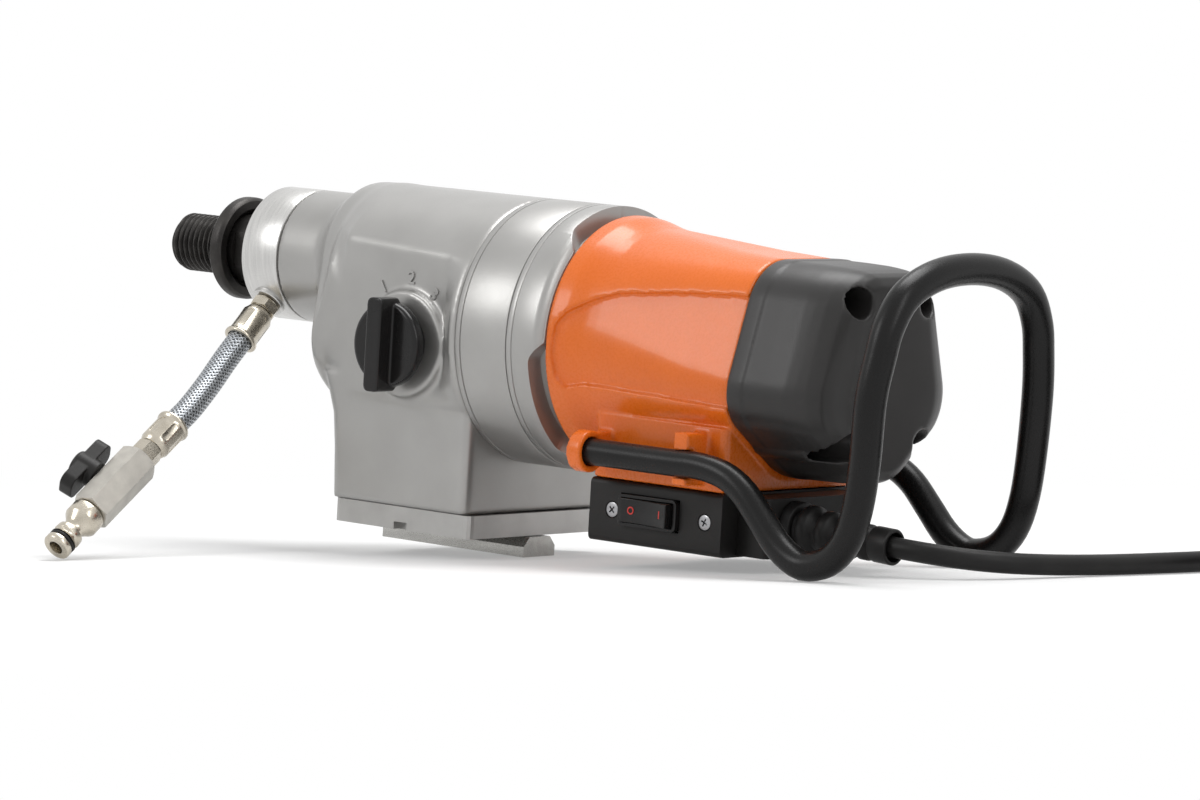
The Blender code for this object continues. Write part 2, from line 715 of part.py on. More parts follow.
def make_rear_flange(tool):
    """The rear ring, with a rounded lip notched in three places to let the cooling air out."""
    front = SEAM_REAR - GAP / 2
    rear = JUNCTION + GAP / 2
    outline = [
        (rear, FLANGE_RADIUS - 0.008),
        (rear, FLANGE_RADIUS - 0.0005),
        (rear + 0.0015, FLANGE_RADIUS + 0.0018),
        (rear + 0.005, BARREL_RADIUS),
        (front - 0.0007, BARREL_RADIUS),
        (front, BARREL_RADIUS - 0.0007),
        (front, FLANGE_RADIUS - 0.008),
    ]
    flange = add_piece(
        "gearbox_rear_flange",
        turned_solid(outline, axis_z=BARREL_AXIS_Z, sides=BARREL_SIDES),
        "silver_paint",
        tool,
    )
    vents = ((43, 137), (-62, 2), (178, 242))
    for number, (start, end) in enumerate(vents, 1):
        cut(flange, vent_cutter(f"vent_{number}", radians(start), radians(end), rear, tool))


def vent_cutter(name, start, end, rear, tool, steps=6):
    """A ring sector that opens the lip from its rear edge, with sloping ends."""
    rings = []
    for step in range(steps + 1):
        share = step / steps
        angle = start + (end - start) * share
        depth = VENT_DEPTH * min(1.0, 6 * share, 6 * (1 - share)) + 0.0002
        section = (
            (rear - 0.002, FLANGE_RADIUS - 0.006),
            (rear - 0.002, BARREL_RADIUS + 0.003),
            (rear + depth, BARREL_RADIUS + 0.003),
            (rear + depth, FLANGE_RADIUS - 0.006),
        )
        rings.append([(x, r * cos(angle), BARREL_AXIS_Z + r * sin(angle)) for x, r in section])
    return add_piece(name, skin_rings(rings, closed=False), "silver_paint", tool)


def make_base(tool):
    """The base plate under the casting, the dovetail shoe under it and the shoe's two screws."""
    plate_low = SHOE_HEIGHT + GAP
    shape = box_solid(
        (PLATE_REAR, -PLATE_HALF_WIDTH, plate_low),
        (PLATE_FRONT, PLATE_HALF_WIDTH, plate_low + PLATE_THICKNESS),
    )
    plate = add_piece("base_plate", bevel_along(shape, "Z", 0.004), "machined_aluminium", tool)
    for side in (-1, 1):
        notch = box_solid(
            (-0.003, side * PLATE_HALF_WIDTH - 0.006, plate_low - 0.001),
            (0.006, side * PLATE_HALF_WIDTH + 0.006, plate_low + 0.004),
        )
        cut(plate, add_piece(f"plate_notch_{side}", notch, "machined_aluminium", tool))
    neck = SHOE_HALF_WIDTH - SHOE_UNDERCUT
    profile = (
        (-SHOE_HALF_WIDTH, 0.0),
        (SHOE_HALF_WIDTH, 0.0),
        (SHOE_HALF_WIDTH, SHOE_HEAD_HEIGHT),
        (neck, SHOE_HEIGHT),
        (-neck, SHOE_HEIGHT),
        (-SHOE_HALF_WIDTH, SHOE_HEAD_HEIGHT),
    )
    shape = section_prism(profile, SHOE_LENGTH, lambda u, v, w: (w - SHOE_LENGTH / 2, u, v))
    shoe = add_piece("mounting_shoe", shape, "bright_steel", tool)
    for number, x in enumerate((-0.028, 0.028), 1):
        make_shoe_screw(tool, shoe, plate, number, x)


def make_shoe_screw(tool, shoe, plate, number, x):
    """A countersunk screw up through the shoe into the base plate."""
    turn = Vector((1, 0, 0)).rotation_difference(Vector((0, 0, 1))).to_matrix().to_4x4()
    place = Matrix.Translation((x, 0, 0)) @ turn
    depth = SHOE_HEIGHT + 0.009

    def upright(name, outline, material, sides):
        shape = turned_solid(outline, sides=sides)
        bmesh.ops.transform(shape, matrix=place, verts=shape.verts)
        return add_piece(name, shape, material, tool)

    hole = [(-0.001, 0), (-0.001, 0.0061), (0.0004, 0.0061), (0.0042, 0.0028), (depth, 0.0028), (depth, 0)]
    screw = [
        (0.0022, 0),
        (0.0022, 0.0022),
        (0.0004, 0.0022),
        (0.0004, 0.0055),
        (0.0040, 0.0024),
        (depth - GAP, 0.0024),
        (depth - GAP, 0),
    ]
    hole_helper = upright(f"shoe_hole_{number}", hole, "bright_steel", 16)
    cut(shoe, hole_helper)
    boolean(plate, hole_helper, "DIFFERENCE")
    upright(f"shoe_screw_{number}", screw, "dark_steel", 16)


def make_collar(tool):
    """The water collar: its bore, water chamber, two seal seats, and the port boss at its lower left."""
    rear = NOSE_FRONT
    front = NOSE_FRONT + COLLAR_LENGTH
    seat = SPINDLE_RADIUS + 0.0065
    outline = [
        (rear, seat + GAP),
        (rear, NOSE_RADIUS - 0.0006),
        (rear + 0.0006, NOSE_RADIUS),
        (front - 0.0012, NOSE_RADIUS),
        (front, NOSE_RADIUS - 0.0012),
        (front, seat + GAP),
        (front - 0.0060, seat + GAP),
        (front - 0.0060, COLLAR_BORE),
        (front - 0.0075, COLLAR_BORE),
        (front - 0.0075, seat),
        (rear + 0.0085, seat),
        (rear + 0.0085, COLLAR_BORE),
        (rear + 0.0070, COLLAR_BORE),
        (rear + 0.0070, seat + GAP),
    ]
    collar = add_piece(
        "water_collar",
        turned_solid(outline, axis_z=SPINDLE_AXIS_Z),
        "machined_aluminium",
        tool,
        sharp=30,
    )
    centre = (PORT_X, 0, SPINDLE_AXIS_Z)
    unite(collar, radial_rod("port_boss", centre, port_direction(), 0.030, 0.0375, 0.0095, tool, 24))
    cut(collar, radial_rod("port_hole", centre, port_direction(), 0.020, 0.042, 0.0048, tool, 16))
    for name, start in (("front_seal", front - 0.0057), ("rear_seal", rear + 0.0013)):
        seal = ring_outline(start, start + 0.0054, SPINDLE_RADIUS + RUNNING, seat)
        shape = turned_solid(seal, axis_z=SPINDLE_AXIS_Z, sides=HIDDEN_SIDES)
        add_piece(name, shape, "black_rubber", tool)


def port_direction():
    """Points out of the collar's water port, down and to the left."""
    return Vector((0, cos(PORT_ANGLE), -sin(PORT_ANGLE)))


def make_spindle(tool):
    """The output spindle, hollow for the water, and its two bearings."""
    pivot = (0, 0, SPINDLE_AXIS_Z)
    thread_rear = SPINDLE_TIP - THREAD_LENGTH
    ring_front = RING_REAR + RING_WIDTH
    outline = [
        (PORT_X - 0.006, 0),
        (PORT_X - 0.006, SPINDLE_BORE),
        (SPINDLE_TIP, SPINDLE_BORE),
        (SPINDLE_TIP, THREAD_RADIUS - 0.0016),
        (SPINDLE_TIP - 0.0016, THREAD_RADIUS),
        (thread_rear, THREAD_RADIUS),
        (thread_rear - 0.001, THREAD_RADIUS - 0.0022),
        (thread_rear - 0.004, THREAD_RADIUS - 0.0022),
        (ring_front, THREAD_RADIUS + 0.006),
        (ring_front, RING_RADIUS - 0.0012),
        (ring_front - 0.0012, RING_RADIUS),
        (RING_REAR + 0.0025, RING_RADIUS),
        (RING_REAR, RING_RADIUS - 0.003),
        (RING_REAR, RING_RADIUS - 0.006),
        (RING_REAR + 0.003, SPINDLE_RADIUS + 0.0015),
        (RING_REAR - 0.012, SPINDLE_RADIUS + 0.0015),
        (RING_REAR - 0.013, SPINDLE_RADIUS),
        (FRONT_BEARING_X - 0.001, SPINDLE_RADIUS),
        (FRONT_BEARING_X - 0.001, SPINDLE_GEAR_SEAT),
        (0.0035, SPINDLE_GEAR_SEAT),
        (0.0035, SPINDLE_TAIL_RADIUS),
        (REAR_BEARING_X - 0.002, SPINDLE_TAIL_RADIUS),
        (REAR_BEARING_X - 0.002, 0),
    ]
    spindle = add_piece(
        "spindle",
        turned_solid(outline, axis_z=SPINDLE_AXIS_Z),
        "dark_steel",
        tool,
        origin=pivot,
    )
    cross = radial_rod("spindle_cross_hole", (PORT_X, 0, SPINDLE_AXIS_Z), (0, 1, 0), -0.03, 0.03,
                       0.003, tool, 12)
    cut(spindle, cross)
    for side in (-1, 1):
        flat = box_solid(
            (RING_REAR - 0.0105, side * 0.0165 - 0.0045 + side * 0.0045, SPINDLE_AXIS_Z - 0.02),
            (RING_REAR - 0.0015, side * 0.0165 + 0.0045 + side * 0.0045, SPINDLE_AXIS_Z + 0.02),
        )
        cut(spindle, add_piece(f"wrench_flat_{side}", flat, "dark_steel", tool))
    bearings = (
        ("spindle_front_bearing", FRONT_BEARING_X, FRONT_BEARING_WIDTH, SPINDLE_RADIUS,
         FRONT_BEARING_RADIUS),
        ("spindle_rear_bearing", REAR_BEARING_X, REAR_BEARING_WIDTH, SPINDLE_TAIL_RADIUS,
         REAR_BEARING_RADIUS),
    )
    for name, rear, width, inner, outer in bearings:
        section = ring_outline(rear, rear + width, clearing(inner, HIDDEN_SIDES), outer)
        shape = turned_solid(section, axis_z=SPINDLE_AXIS_Z, sides=HIDDEN_SIDES)
        add_piece(name, shape, "bright_steel", tool)


def make_speed_gears(tool):
    """The three gears on the spindle and the layshaft whose three pinions they mesh with."""
    shaft = add_piece(
        "layshaft",
        turned_solid(
            rod_outline(LAYSHAFT_REAR, LAYSHAFT_FRONT, LAYSHAFT_RADIUS, 0.0006),
            axis_z=LAY_CENTRE.y,
            sides=HIDDEN_SIDES,
        ),
        "gear_steel",
        tool,
        origin=(0, 0, LAY_CENTRE.y),
    )
    for speed, (pinion_teeth, gear_teeth) in SPEED_TEETH.items():
        rear = SPEED_GEAR_X[speed]
        pinion = gear_solid(pinion_teeth, SPEED_MODULE, 0.0, rear, SPEED_GEAR_WIDTH, LAY_CENTRE)
        unite(shaft, add_piece(f"{speed}_pinion", pinion, "gear_steel", tool))
        phase = meshed_phase(0.0, pinion_teeth, LAY_CENTRE, gear_teeth, SPINDLE_CENTRE)
        gear = add_piece(
            f"{speed}_speed_gear",
            gear_solid(gear_teeth, SPEED_MODULE, phase, rear, SPEED_GEAR_WIDTH, SPINDLE_CENTRE),
            "gear_steel",
            tool,
            origin=(0, 0, SPINDLE_AXIS_Z),
        )
        bore = rod_outline(rear - 0.001, rear + SPEED_GEAR_WIDTH + 0.001, clearing(SPINDLE_GEAR_SEAT))
        bore_shape = turned_solid(bore, axis_z=SPINDLE_AXIS_Z)
        cut(gear, add_piece(f"{speed}_gear_bore", bore_shape, "gear_steel", tool))
    second_phase = meshed_phase(
        intermediate_phase(), SECOND_PINION_TEETH, INTERMEDIATE_CENTRE, SECOND_GEAR_TEETH, LAY_CENTRE
    )
    second = gear_solid(
        SECOND_GEAR_TEETH, DRIVE_MODULE, second_phase, SECOND_GEAR_X, DRIVE_GEAR_WIDTH, LAY_CENTRE
    )
    unite(shaft, add_piece("second_gear", second, "gear_steel", tool))


def intermediate_phase():
    return bearing_of(INTERMEDIATE_CENTRE, LAY_CENTRE)


def make_intermediate_shaft(tool):
    """The shaft between motor and layshaft, with the gear and the pinion cut on it."""
    centre = INTERMEDIATE_CENTRE
    origin = (0, centre.x, centre.y)
    shaft = add_piece(
        "intermediate_shaft",
        turned_solid(
            rod_outline(INTERMEDIATE_REAR + 0.002, INTERMEDIATE_FRONT, INTERMEDIATE_RADIUS, 0.0005),
            axis_z=centre.y,
            axis_y=centre.x,
            sides=16,
        ),
        "gear_steel",
        tool,
        origin=origin,
    )
    pinion = gear_solid(
        SECOND_PINION_TEETH,
        DRIVE_MODULE,
        intermediate_phase(),
        SECOND_GEAR_X - 0.001,
        DRIVE_GEAR_WIDTH + 0.002,
        centre,
    )
    unite(shaft, add_piece("second_pinion", pinion, "gear_steel", tool))
    phase = meshed_phase(0.0, MOTOR_PINION_TEETH, MOTOR_CENTRE, FIRST_GEAR_TEETH, centre)
    gear = gear_solid(FIRST_GEAR_TEETH, DRIVE_MODULE, phase, FIRST_GEAR_X, DRIVE_GEAR_WIDTH, centre)
    unite(shaft, add_piece("intermediate_gear", gear, "gear_steel", tool))


def make_selector(tool):
    """The speed knob, its shaft with a crank pin, and the shift fork that the pin moves."""
    turn = selector_turn()
    pivot = (SELECTOR_X, 0, SELECTOR_Z)
    knob_bore = SELECTOR_SHAFT_RADIUS - 0.001
    disc_front = KNOB_DISC_FACE + KNOB_DISC_THICKNESS
    outline = [
        (SELECTOR_BOSS_FACE + GAP, knob_bore + GAP),
        (SELECTOR_BOSS_FACE + GAP, 0.0175),
        (KNOB_DISC_FACE, 0.0175),
        (KNOB_DISC_FACE, KNOB_DISC_RADIUS),
        (disc_front - 0.002, KNOB_DISC_RADIUS - 0.0003),
        (disc_front, KNOB_DISC_RADIUS - 0.003),
        (disc_front, knob_bore + GAP),
    ]
    disc = turned_solid(outline)
    bmesh.ops.transform(disc, matrix=turn, verts=disc.verts)
    knob = add_piece("selector_knob", disc, "black_plastic", tool, origin=pivot)
    bar = box_solid(
        (SELECTOR_X - KNOB_BAR_HALF_WIDTH, KNOB_DISC_FACE + 0.002, SELECTOR_Z - KNOB_BAR_HALF_LENGTH),
        (SELECTOR_X + KNOB_BAR_HALF_WIDTH, KNOB_OUTER_FACE, SELECTOR_Z + KNOB_BAR_HALF_LENGTH),
    )
    unite(knob, add_piece("knob_bar", bevel_along(bar, "Y", 0.0012, 2), "black_plastic", tool))

    shaft_outline = [
        (0.0375, 0),
        (0.0375, SELECTOR_SHAFT_RADIUS),
        (SELECTOR_BOSS_FACE, SELECTOR_SHAFT_RADIUS),
        (SELECTOR_BOSS_FACE, knob_bore),
        (KNOB_DISC_FACE + 0.0017, knob_bore),
        (KNOB_DISC_FACE + 0.0017, 0),
    ]
    rod = turned_solid(shaft_outline, sides=16)
    bmesh.ops.transform(rod, matrix=turn, verts=rod.verts)
    shaft = add_piece("selector_shaft", rod, "gear_steel", tool, origin=pivot)
    crank = box_solid(
        (SELECTOR_X - 0.0035, 0.0372, SELECTOR_Z - CRANK_RADIUS - 0.003),
        (SELECTOR_X + 0.0035, 0.0405, SELECTOR_Z + 0.0035),
    )
    pin = radial_rod(
        "crank_pin",
        (SELECTOR_X, 0, SELECTOR_Z - CRANK_RADIUS),
        (0, 1, 0),
        0.0305,
        0.039,
        CRANK_PIN_RADIUS,
        tool,
        sides=12,
    )
    unite(shaft, add_piece("crank_web", crank, "gear_steel", tool), pin)
    make_shift_fork(tool)


def make_shift_fork(tool):
    """A plate that straddles the layshaft, with a slotted arm for the crank pin."""
    reach = clearing(LAYSHAFT_RADIUS + RUNNING, 20)
    plate_rear = -0.0078
    plate_width = 0.004
    outline = [
        (-0.014, LAY_CENTRE.y - 0.014),
        (0.040, FORK_RAIL_Z - 0.008),
        (0.040, 0.0905),
        (0.0355, 0.0925),
        (0.0355, 0.103),
        (0.012, LAY_CENTRE.y + 0.014),
        (-0.014, LAY_CENTRE.y + 0.014),
    ]
    plate = section_prism(outline, plate_width, lambda u, v, w: (plate_rear + w, u, v))
    fork = add_piece("shift_fork", plate, "machined_aluminium", tool)
    arm = box_solid((plate_rear + 0.001, 0.030, 0.090), (0.008, 0.036, 0.103))
    unite(fork, add_piece("fork_arm", arm, "machined_aluminium", tool))
    slot = box_solid(
        (SELECTOR_X - CRANK_PIN_RADIUS - GAP, 0.029, SELECTOR_Z - CRANK_RADIUS - 0.0035),
        (SELECTOR_X + CRANK_PIN_RADIUS + GAP, 0.037, 0.105),
    )
    mouth = box_solid(
        (plate_rear - 0.001, -0.020, LAY_CENTRE.y - reach),
        (plate_rear + plate_width + 0.001, 0.0, LAY_CENTRE.y + reach),
    )
    throat = turned_solid(
        rod_outline(plate_rear - 0.001, plate_rear + plate_width + 0.001, reach),
        axis_z=LAY_CENTRE.y,
        sides=20,
    )
    rail_hole = turned_solid(
        rod_outline(
            plate_rear - 0.001, plate_rear + plate_width + 0.001, clearing(FORK_RAIL_RADIUS, 16)
        ),
        axis_z=FORK_RAIL_Z,
        axis_y=FORK_RAIL_Y,
        sides=16,
    )
    cutters = (("fork_slot", slot), ("fork_mouth", mouth), ("fork_throat", throat),
               ("fork_rail_hole", rail_hole))
    for name, shape in cutters:
        cut(fork, add_piece(name, shape, "machined_aluminium", tool))


def make_motor_core(tool):
    """The armature with its shaft, core, commutator and fan, its bearings, the stator and brushes."""
    axis = BARREL_AXIS_Z
    pivot = (0, 0, axis)
    pinion_rear = FIRST_GEAR_X - 0.001
    pinion_front = FIRST_GEAR_X + DRIVE_GEAR_WIDTH + 0.001
    shaft_outline = [
        (CAP_BEARING_X + GAP, 0),
        (CAP_BEARING_X + GAP, MOTOR_SHAFT_RADIUS),
        (pinion_rear - 0.001, MOTOR_SHAFT_RADIUS),
        (pinion_rear - 0.001, MOTOR_PINION_CORE),
        (pinion_front + 0.0005, MOTOR_PINION_CORE),
        (pinion_front + 0.0005, 0),
    ]
    shaft = add_piece(
        "armature_shaft", turned_solid(shaft_outline, axis_z=axis, sides=20), "gear_steel", tool,
        origin=pivot,
    )
    pinion = gear_solid(
        MOTOR_PINION_TEETH,
        DRIVE_MODULE,
        0.0,
        pinion_rear,
        pinion_front - pinion_rear,
        MOTOR_CENTRE,
    )
    unite(shaft, add_piece("motor_pinion", pinion, "gear_steel", tool))
    inner = clearing(MOTOR_SHAFT_RADIUS, HIDDEN_SIDES)
    rings = (
        ("armature_core", ARMATURE_REAR, ARMATURE_FRONT, inner, ARMATURE_RADIUS, "core_steel"),
        ("commutator", COMMUTATOR_REAR, COMMUTATOR_FRONT, inner, COMMUTATOR_RADIUS, "copper"),
        ("motor_front_bearing", SEAM_REAR + 0.0003, SEAM_REAR + 0.0063, inner,
         MOTOR_BEARING_RADIUS, "bright_steel"),
        ("motor_rear_bearing", CAP_BEARING_X + 0.001, CAP_BEARING_X + 0.009, inner,
         MOTOR_BEARING_RADIUS, "bright_steel"),
        ("stator", ARMATURE_REAR - 0.004, ARMATURE_FRONT + 0.004, STATOR_BORE,
         MOTOR_BORE - 2 * GAP, "core_steel"),
    )
    for name, rear, front, bore, radius, material in rings:
        section = ring_outline(rear, front, bore, radius)
        shape = turned_solid(section, axis_z=axis, sides=HIDDEN_SIDES)
        add_piece(name, shape, material, tool, origin=pivot)
    make_fan(tool, inner)
    for side, word in ((1, "left"), (-1, "right")):
        make_brush(tool, side, word)


def make_fan(tool, bore, blades=7):
    """The cooling fan: a hub, a back disc and straight radial blades."""
    section = [
        (FAN_X + 0.001, bore),
        (FAN_X + 0.001, FAN_RADIUS),
        (FAN_X + 0.003, FAN_RADIUS),
        (FAN_X + 0.003, 0.014),
        (FAN_X + 0.011, 0.012),
        (FAN_X + 0.011, bore),
    ]
    fan = add_piece(
        "cooling_fan",
        turned_solid(section, axis_z=BARREL_AXIS_Z, sides=HIDDEN_SIDES),
        "black_plastic",
        tool,
        origin=(0, 0, BARREL_AXIS_Z),
    )
    shape = bmesh.new()
    for blade in range(blades):
        part = box_solid((FAN_X + 0.002, 0.011, -0.0008), (FAN_X + 0.010, FAN_RADIUS - 0.001, 0.0008))
        bmesh.ops.rotate(
            part, cent=(0, 0, 0), matrix=Matrix.Rotation(2 * pi * blade / blades, 3, "X"),
            verts=part.verts,
        )
        mesh = bpy.data.meshes.new("fan_blade")
        part.to_mesh(mesh)
        part.free()
        shape.from_mesh(mesh)
        bpy.data.meshes.remove(mesh)
    bmesh.ops.translate(shape, vec=(0, 0, BARREL_AXIS_Z), verts=shape.verts)
    unite(fan, add_piece("fan_blades", shape, "black_plastic", tool))


def make_brush(tool, side, word):
    """A brush holder from the housing's wall, and the carbon brush in it against the commutator."""
    middle = (COMMUTATOR_FRONT + COMMUTATOR_REAR) / 2
    holder = box_solid(
        (middle - 0.0068, 0.0225, BARREL_AXIS_Z - 0.0058),
        (middle + 0.0068, MOTOR_BORE - 0.0014, BARREL_AXIS_Z + 0.0058),
    )
    hollow = box_solid(
        (middle - 0.0050, 0.0200, BARREL_AXIS_Z - 0.0040),
        (middle + 0.0050, MOTOR_BORE - 0.0054, BARREL_AXIS_Z + 0.0040),
    )
    brush = box_solid(
        (middle - 0.0050 + GAP, COMMUTATOR_RADIUS + RUNNING, BARREL_AXIS_Z - 0.0040 + GAP),
        (middle + 0.0050 - GAP, 0.0400, BARREL_AXIS_Z + 0.0040 - GAP),
    )
    for shape in (holder, hollow, brush):
        bmesh.ops.scale(shape, vec=(1, side, 1), verts=shape.verts)
    body = add_piece(f"brush_holder_{word}", holder, "copper", tool)
    cut(body, add_piece(f"brush_hollow_{word}", hollow, "copper", tool))
    add_piece(f"carbon_brush_{word}", brush, "carbon", tool)


def housing_sections():
    """The motor housing from its front flange to the end cap's seam."""
    rear = CAP_SEAM + GAP / 2
    return [
        motor_section(JUNCTION - GAP / 2, FLANGE_RADIUS - 0.001, 0.0),
        motor_section(JUNCTION - 0.0015, FLANGE_RADIUS, 0.0),
        motor_section(JUNCTION - 0.010, FLANGE_RADIUS - 0.0006, 0.0),
        motor_section(JUNCTION - 0.027, FLANGE_RADIUS - 0.0038, 0.15),
        motor_section(rear + 0.030, FLANGE_RADIUS - 0.0040, 0.80),
        motor_section(rear, FLANGE_RADIUS - 0.0040, 1.0),
    ]


def make_motor_housing(tool):
    """The motor's orange shell: barrel, skirt over the switch box, handle eyes and saddles."""
    shell = add_piece(
        "motor_housing", morphed_solid(housing_sections()), "orange_paint", tool, sharp=28
    )
    skirt = box_solid(
        (SWITCH_BOX_REAR, -SWITCH_BOX_HALF_WIDTH, SWITCH_BOX_TOP + GAP),
        (SWITCH_BOX_FRONT, SWITCH_BOX_HALF_WIDTH, 0.086),
    )
    unite(shell, add_piece("housing_skirt", bevel_along(skirt, "Z", 0.004), "orange_paint", tool))
    for side in (-1, 1):
        unite(shell, *handle_clamps(tool, side))
    bore = rod_outline(CAP_SEAM - 0.01, JUNCTION + 0.01, clearing(MOTOR_BORE - GAP))
    bore_helper = add_piece(
        "motor_bore", turned_solid(bore, axis_z=BARREL_AXIS_Z), "orange_paint", tool
    )
    cut(shell, bore_helper)
    for y, z in screw_places():
        post = rod_outline(CAP_SEAM + 0.001, CAP_SEAM + 0.017, 0.0095)
        unite(shell, add_piece("screw_post", turned_solid(post, axis_z=z, axis_y=y, sides=12),
                               "orange_paint", tool))
    for y, z in screw_places():
        hole = rod_outline(CAP_SEAM - 0.002, CAP_SEAM + 0.0135, 0.0023)
        cut(shell, add_piece("screw_hole", turned_solid(hole, axis_z=z, axis_y=y, sides=12),
                             "orange_paint", tool))
    for side in (-1, 1):
        y = side * TUBE_HALF_SPREAD
        run = rod_outline(-0.2127, CLAMP_FRONT - 0.0015, clearing(TUBE_RUN_RADIUS, 20))
        stub = rod_outline(CLAMP_FRONT - 0.002, TUBE_FRONT + 0.01, clearing(0.0045, 20))
        for word, outline in (("run", run), ("stub", stub)):
            bore_shape = turned_solid(outline, axis_z=TUBE_RUN_Z, axis_y=y, sides=20)
            cut(shell, add_piece(f"handle_{word}_bore", bore_shape, "orange_paint", tool))


def handle_clamps(tool, side):
    """The front eye that closes round the handle's end and the saddle with two ears behind it."""
    y = side * TUBE_HALF_SPREAD
    eye = turned_solid(
        rod_outline(CLAMP_FRONT - CLAMP_WIDTH, CLAMP_FRONT, CLAMP_RADIUS, 0.0008),
        axis_z=TUBE_RUN_Z,
        axis_y=y,
        sides=24,
    )
    web = box_solid(
        (CLAMP_FRONT - CLAMP_WIDTH, 0.044, TUBE_RUN_Z - 0.004),
        (CLAMP_FRONT, TUBE_HALF_SPREAD - 0.001, TUBE_RUN_Z + CLAMP_RADIUS - 0.001),
    )
    saddle = box_solid(
        (SADDLE_X - 0.0045, 0.045, SWITCH_BOX_TOP + 0.0035),
        (SADDLE_X + 0.0045, TUBE_HALF_SPREAD + 0.0015, TUBE_RUN_Z + 0.0155),
    )
    for shape in (web, saddle):
        bmesh.ops.scale(shape, vec=(1, side, 1), verts=shape.verts)
    return [
        add_piece("handle_eye", eye, "orange_paint", tool),
        add_piece("handle_web", web, "orange_paint", tool),
        add_piece("handle_saddle", saddle, "orange_paint", tool),
    ]


def screw_places():
    """The (y, z) of the four screws that hold the end cap."""
    return [(side * y, z) for y, z in CAP_SCREWS for side in (-1, 1)]


def make_end_cap(tool):
    """The motor's rear cap, with the bearing seat inside and four screws in deep pockets."""
    front = CAP_SEAM - GAP / 2
    profile = (
        (front, 1.0, 1.0),
        (front - 0.010, 1.008, 1.004),
        (front - 0.036, 0.985, 0.99),
        (CAP_REAR + 0.012, 0.925, 0.97),
        (CAP_REAR + 0.006, 0.84, 0.95),
        (CAP_REAR + 0.0025, 0.74, 0.92),
        (CAP_REAR, 0.60, 0.84),
    )
    sections = [motor_section(x, FLANGE_RADIUS, 1.0, wide, high) for x, wide, high in profile]
    cap = add_piece(
        "motor_end_cap", morphed_solid(sections), "dark_grey_plastic", tool, sharp=28
    )
    wide_end = CAP_REAR + 0.026
    hollow = [
        (CAP_REAR + 0.009, 0),
        (CAP_REAR + 0.009, 0.030),
        (wide_end, 0.030),
        (wide_end, MOTOR_BORE),
        (front + 0.01, MOTOR_BORE),
        (front + 0.01, 0),
    ]
    cut(cap, add_piece("cap_hollow", turned_solid(hollow, axis_z=BARREL_AXIS_Z),
                       "dark_grey_plastic", tool))
    seat = rod_outline(CAP_REAR + 0.008, CAP_BEARING_X + 0.0095, MOTOR_BEARING_RADIUS + 0.004)
    unite(cap, add_piece("bearing_seat", turned_solid(seat, axis_z=BARREL_AXIS_Z, sides=HIDDEN_SIDES),
                         "dark_grey_plastic", tool))
    for y, z in screw_places():
        tube = rod_outline(wide_end - 0.001, front - 0.001, CAP_POCKET_RADIUS + 0.002)
        unite(cap, add_piece("pocket_tube", turned_solid(tube, axis_z=z, axis_y=y, sides=12),
                             "dark_grey_plastic", tool))
    seat_radius = clearing(MOTOR_BEARING_RADIUS, HIDDEN_SIDES)
    seat_outline = rod_outline(CAP_BEARING_X - 0.0012, CAP_BEARING_X + 0.02, seat_radius)
    seat_bore = turned_solid(seat_outline, axis_z=BARREL_AXIS_Z, sides=HIDDEN_SIDES)
    cut(cap, add_piece("seat_bore", seat_bore, "dark_grey_plastic", tool))
    for number, (y, z) in enumerate(screw_places(), 1):
        pocket = [
            (CAP_REAR - 0.01, 0),
            (CAP_REAR - 0.01, CAP_POCKET_RADIUS + 0.002),
            (CAP_SCREW_SEAT, CAP_POCKET_RADIUS),
            (CAP_SCREW_SEAT, 0.0023),
            (front + 0.002, 0.0023),
            (front + 0.002, 0),
        ]
        cut(cap, add_piece("screw_pocket", turned_solid(pocket, axis_z=z, axis_y=y, sides=SMALL_SIDES),
                           "dark_grey_plastic", tool))
        screw = [
            (CAP_SCREW_SEAT - GAP - 0.0022, 0),
            (CAP_SCREW_SEAT - GAP - 0.0022, 0.0020),
            (CAP_SCREW_SEAT - GAP - 0.0045, 0.0020),
            (CAP_SCREW_SEAT - GAP - 0.0045, 0.0042),
            (CAP_SCREW_SEAT - GAP, 0.0042),
            (CAP_SCREW_SEAT - GAP, 0.0020),
            (CAP_SEAM + 0.0130, 0.0020),
            (CAP_SEAM + 0.0130, 0),
        ]
        add_piece(f"cap_screw_{number}", turned_solid(screw, axis_z=z, axis_y=y, sides=12),
                  "dark_steel", tool)


def smooth_path(route, spacing):
    """Evenly spaced points on a smooth curve through the route's own points."""
    knots = [Vector(point) for point in route]
    knots = [2 * knots[0] - knots[1]] + knots + [2 * knots[-1] - knots[-2]]
    dense = []
    for before, start, end, after in zip(knots, knots[1:], knots[2:], knots[3:]):
        for step in range(40):
            t = step / 40
            dense.append(
                0.5
                * (
                    2 * start
                    + (end - before) * t
                    + (2 * before - 5 * start + 4 * end - after) * t**2
                    + (3 * start - before - 3 * end + after) * t**3
                )
            )
    dense.append(knots[-2])
    length = sum((b - a).length for a, b in zip(dense, dense[1:]))
    count = max(2, round(length / spacing))
    points = [dense[0]]
    travelled = 0.0
    for a, b in zip(dense, dense[1:]):
        step_length = (b - a).length
        while travelled + step_length >= length * len(points) / count - 1e-9 and len(points) < count:
            share = (length * len(points) / count - travelled) / step_length
            points.append(a.lerp(b, share))
        travelled += step_length
    points.append(dense[-1])
    return points


